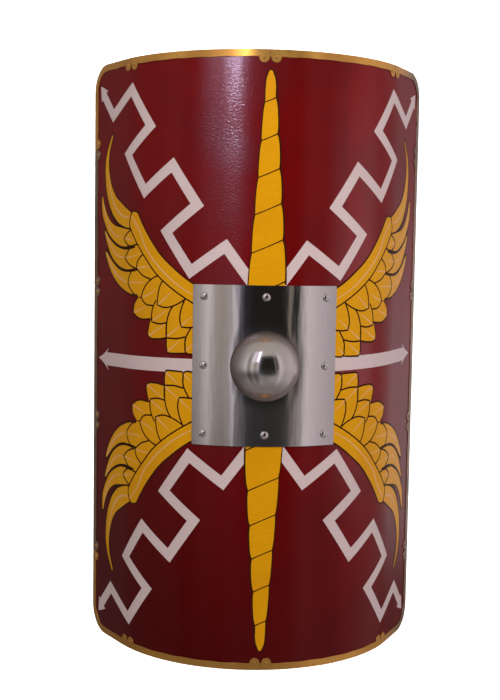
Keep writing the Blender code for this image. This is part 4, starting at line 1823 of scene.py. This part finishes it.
feathers = {**FLIGHT_FEATHERS, **SHORT_FEATHERS, **LEADING_BAND}
print("feathers:", ", ".join(feathers))

# %% Draw the shadows and lights
# Each point of a stroke is (x, y, half width).
SHADOW_STROKES = [
    [(268, 228.5, 0.8), (300, 232.5, 1.6), (328, 243, 2.4), (345, 256, 1.6), (356, 268, 0.8)],
    [(276, 196.5, 0.6), (305, 197.5, 1.6), (330, 204.5, 2.5), (352, 217, 2.2), (366, 230, 0.8)],
    [(260, 157.5, 0.8), (292, 156.5, 1.5), (318, 163, 2.4), (342, 176, 2.3), (361, 194, 0.8)],
]
LIGHT_STROKES = [
    [(276, 249, 0.8), (300, 252, 2.0), (322, 263, 2.4), (342, 286, 2.0), (353, 312, 1.2),
     (357, 338, 0.4)],
    [(300, 214, 0.4), (330, 219, 1.1), (352, 234, 1.6), (368, 256, 2.0), (377, 278, 1.4)],
    [(286, 180, 0.5), (312, 180, 1.5), (334, 190, 1.4), (352, 206, 1.6), (365, 222, 1.6)],
    [(284, 134, 0.6), (306, 141, 1.8), (328, 151, 2.2), (346, 167, 1.8), (361, 185, 1.8)],
    [(269, 252, 1.2), (261, 243, 1.9), (247, 228, 2.0), (229, 197, 1.9), (204, 171, 1.7),
     (176, 147.5, 1.5), (150, 130, 1.2), (124, 117, 0.9)],
    [(289, 212.5, 1.6), (280, 211, 1.4), (266, 209, 0.5)],
    [(287, 179, 1.2), (266, 181, 0.8), (243, 186, 0.4)],
    [(250, 161, 1.2), (234, 163, 1.4), (215, 164, 0.4)],
    [(277, 135.5, 1.2), (255, 135.5, 1.3), (230, 136.5, 0.5)],
    [(234, 111, 1.6), (220, 116, 1.2), (203, 125, 0.4)],
    [(197, 98.5, 1.4), (186, 108, 1.3), (170, 121, 0.5)],
    [(258.5, 83, 2.0), (244, 88, 1.3), (224, 95, 0.4)],
    [(209.5, 71, 1.5), (196, 79, 1.3), (178, 90, 0.5)],
    [(218.5, 44.5, 1.8), (205, 52, 1.3), (184, 64, 0.5)],
    [(177, 45.5, 1.4), (166, 53, 1.2), (150, 65, 0.4)],
    [(148.5, 65, 1.2), (140, 72, 1.1), (127, 82, 0.4)],
    [(176, 20, 1.6), (166, 27, 1.3), (151, 39, 0.4)],
    [(139, 22, 1.1), (133, 28, 0.9), (127, 33, 0.5)],
]
LINE_HALF_WIDTH = 1.5


def border_stroke(stretches):
    """The black line round the part of a feather that no other one covers."""
    points, corners = run_together(stretches[:-1])
    points.append(stretches[-2][-1])
    return points, [LINE_HALF_WIDTH] * len(points), corners


def free_stroke(points):
    """A brush stroke that swells and tapers."""
    return [(x, y) for x, y, width in points], [width for x, y, width in points], ()


def wing_placer(across, up, degrees, slide_out, slide_up, pull):
    """A function that carries a point of the pattern to its place in a quarter."""
    turn = math.radians(degrees)

    def carry(point):
        x, y = point[0] - ELBOW[0], point[1] - ELBOW[1]
        reach = max(0.0, min(1.0, (point[0] - TIPS_FROM) / TIPS_LENGTH))
        out = ELBOW[0] + x * math.cos(turn) - y * math.sin(turn) + slide_out - pull * reach
        away = ELBOW[1] + x * math.sin(turn) + y * math.cos(turn) + slide_up
        return (across * out, up * away, *point[2:])

    return carry


def paint_wing(quarter, carry):
    """The yellow areas, black lines and pale lights of one wing."""
    shapes = {
        name: [[carry(point) for point in stretch] for stretch in stretches]
        for name, stretches in feathers.items()
    }
    areas = [area(name, shapes[name], level) for level, name in enumerate(shapes)]
    borders = [border_stroke(stretches) for stretches in shapes.values()]
    shadows = [free_stroke([carry(point) for point in points]) for points in SHADOW_STROKES]
    lights = [free_stroke([carry(point) for point in points]) for points in LIGHT_STROKES]
    hand_in(roll(join(areas, "wing_gold_" + quarter)), YELLOW_ENAMEL, "painted_board")
    hand_in(roll(lines("wing_black_" + quarter, borders + shadows)), BLACK_ENAMEL, "painted_board")
    hand_in(roll(lines("wing_lights_" + quarter, lights)), PALE_ENAMEL, "painted_board")


print("wing painter ready")

# %% Paint the four wings
ELBOW = (340, 150)
TIPS_FROM = 290
TIPS_LENGTH = 80
# Each place is (across, up, degrees of turn, slide out, slide up, pull of the long tips).
WING_PLACES = {
    "upper_right": (1, 1, 0.8, 3, 0.5, 9),
    "upper_left": (-1, 1, 0, 0, 0, 0),
    "lower_right": (1, -1, 0.5, 0, -1.5, 5),
    "lower_left": (-1, -1, 1.3, 0.5, 0.5, 5),
}
for quarter, place in WING_PLACES.items():
    paint_wing(quarter, wing_placer(*place))
print("wings painted:", ", ".join(WING_PLACES))

# %% [markdown]
# ## Clearing up
#
# The roller has done its work and goes away. The frame's box is printed, because the finished
# shield has to fit in it.

# %% Put the roller away and print the frame's box
bpy.data.objects.remove(ROLLER)
print("frame box ", [round(v, 4) for v in (*cad_low, *cad_high)])
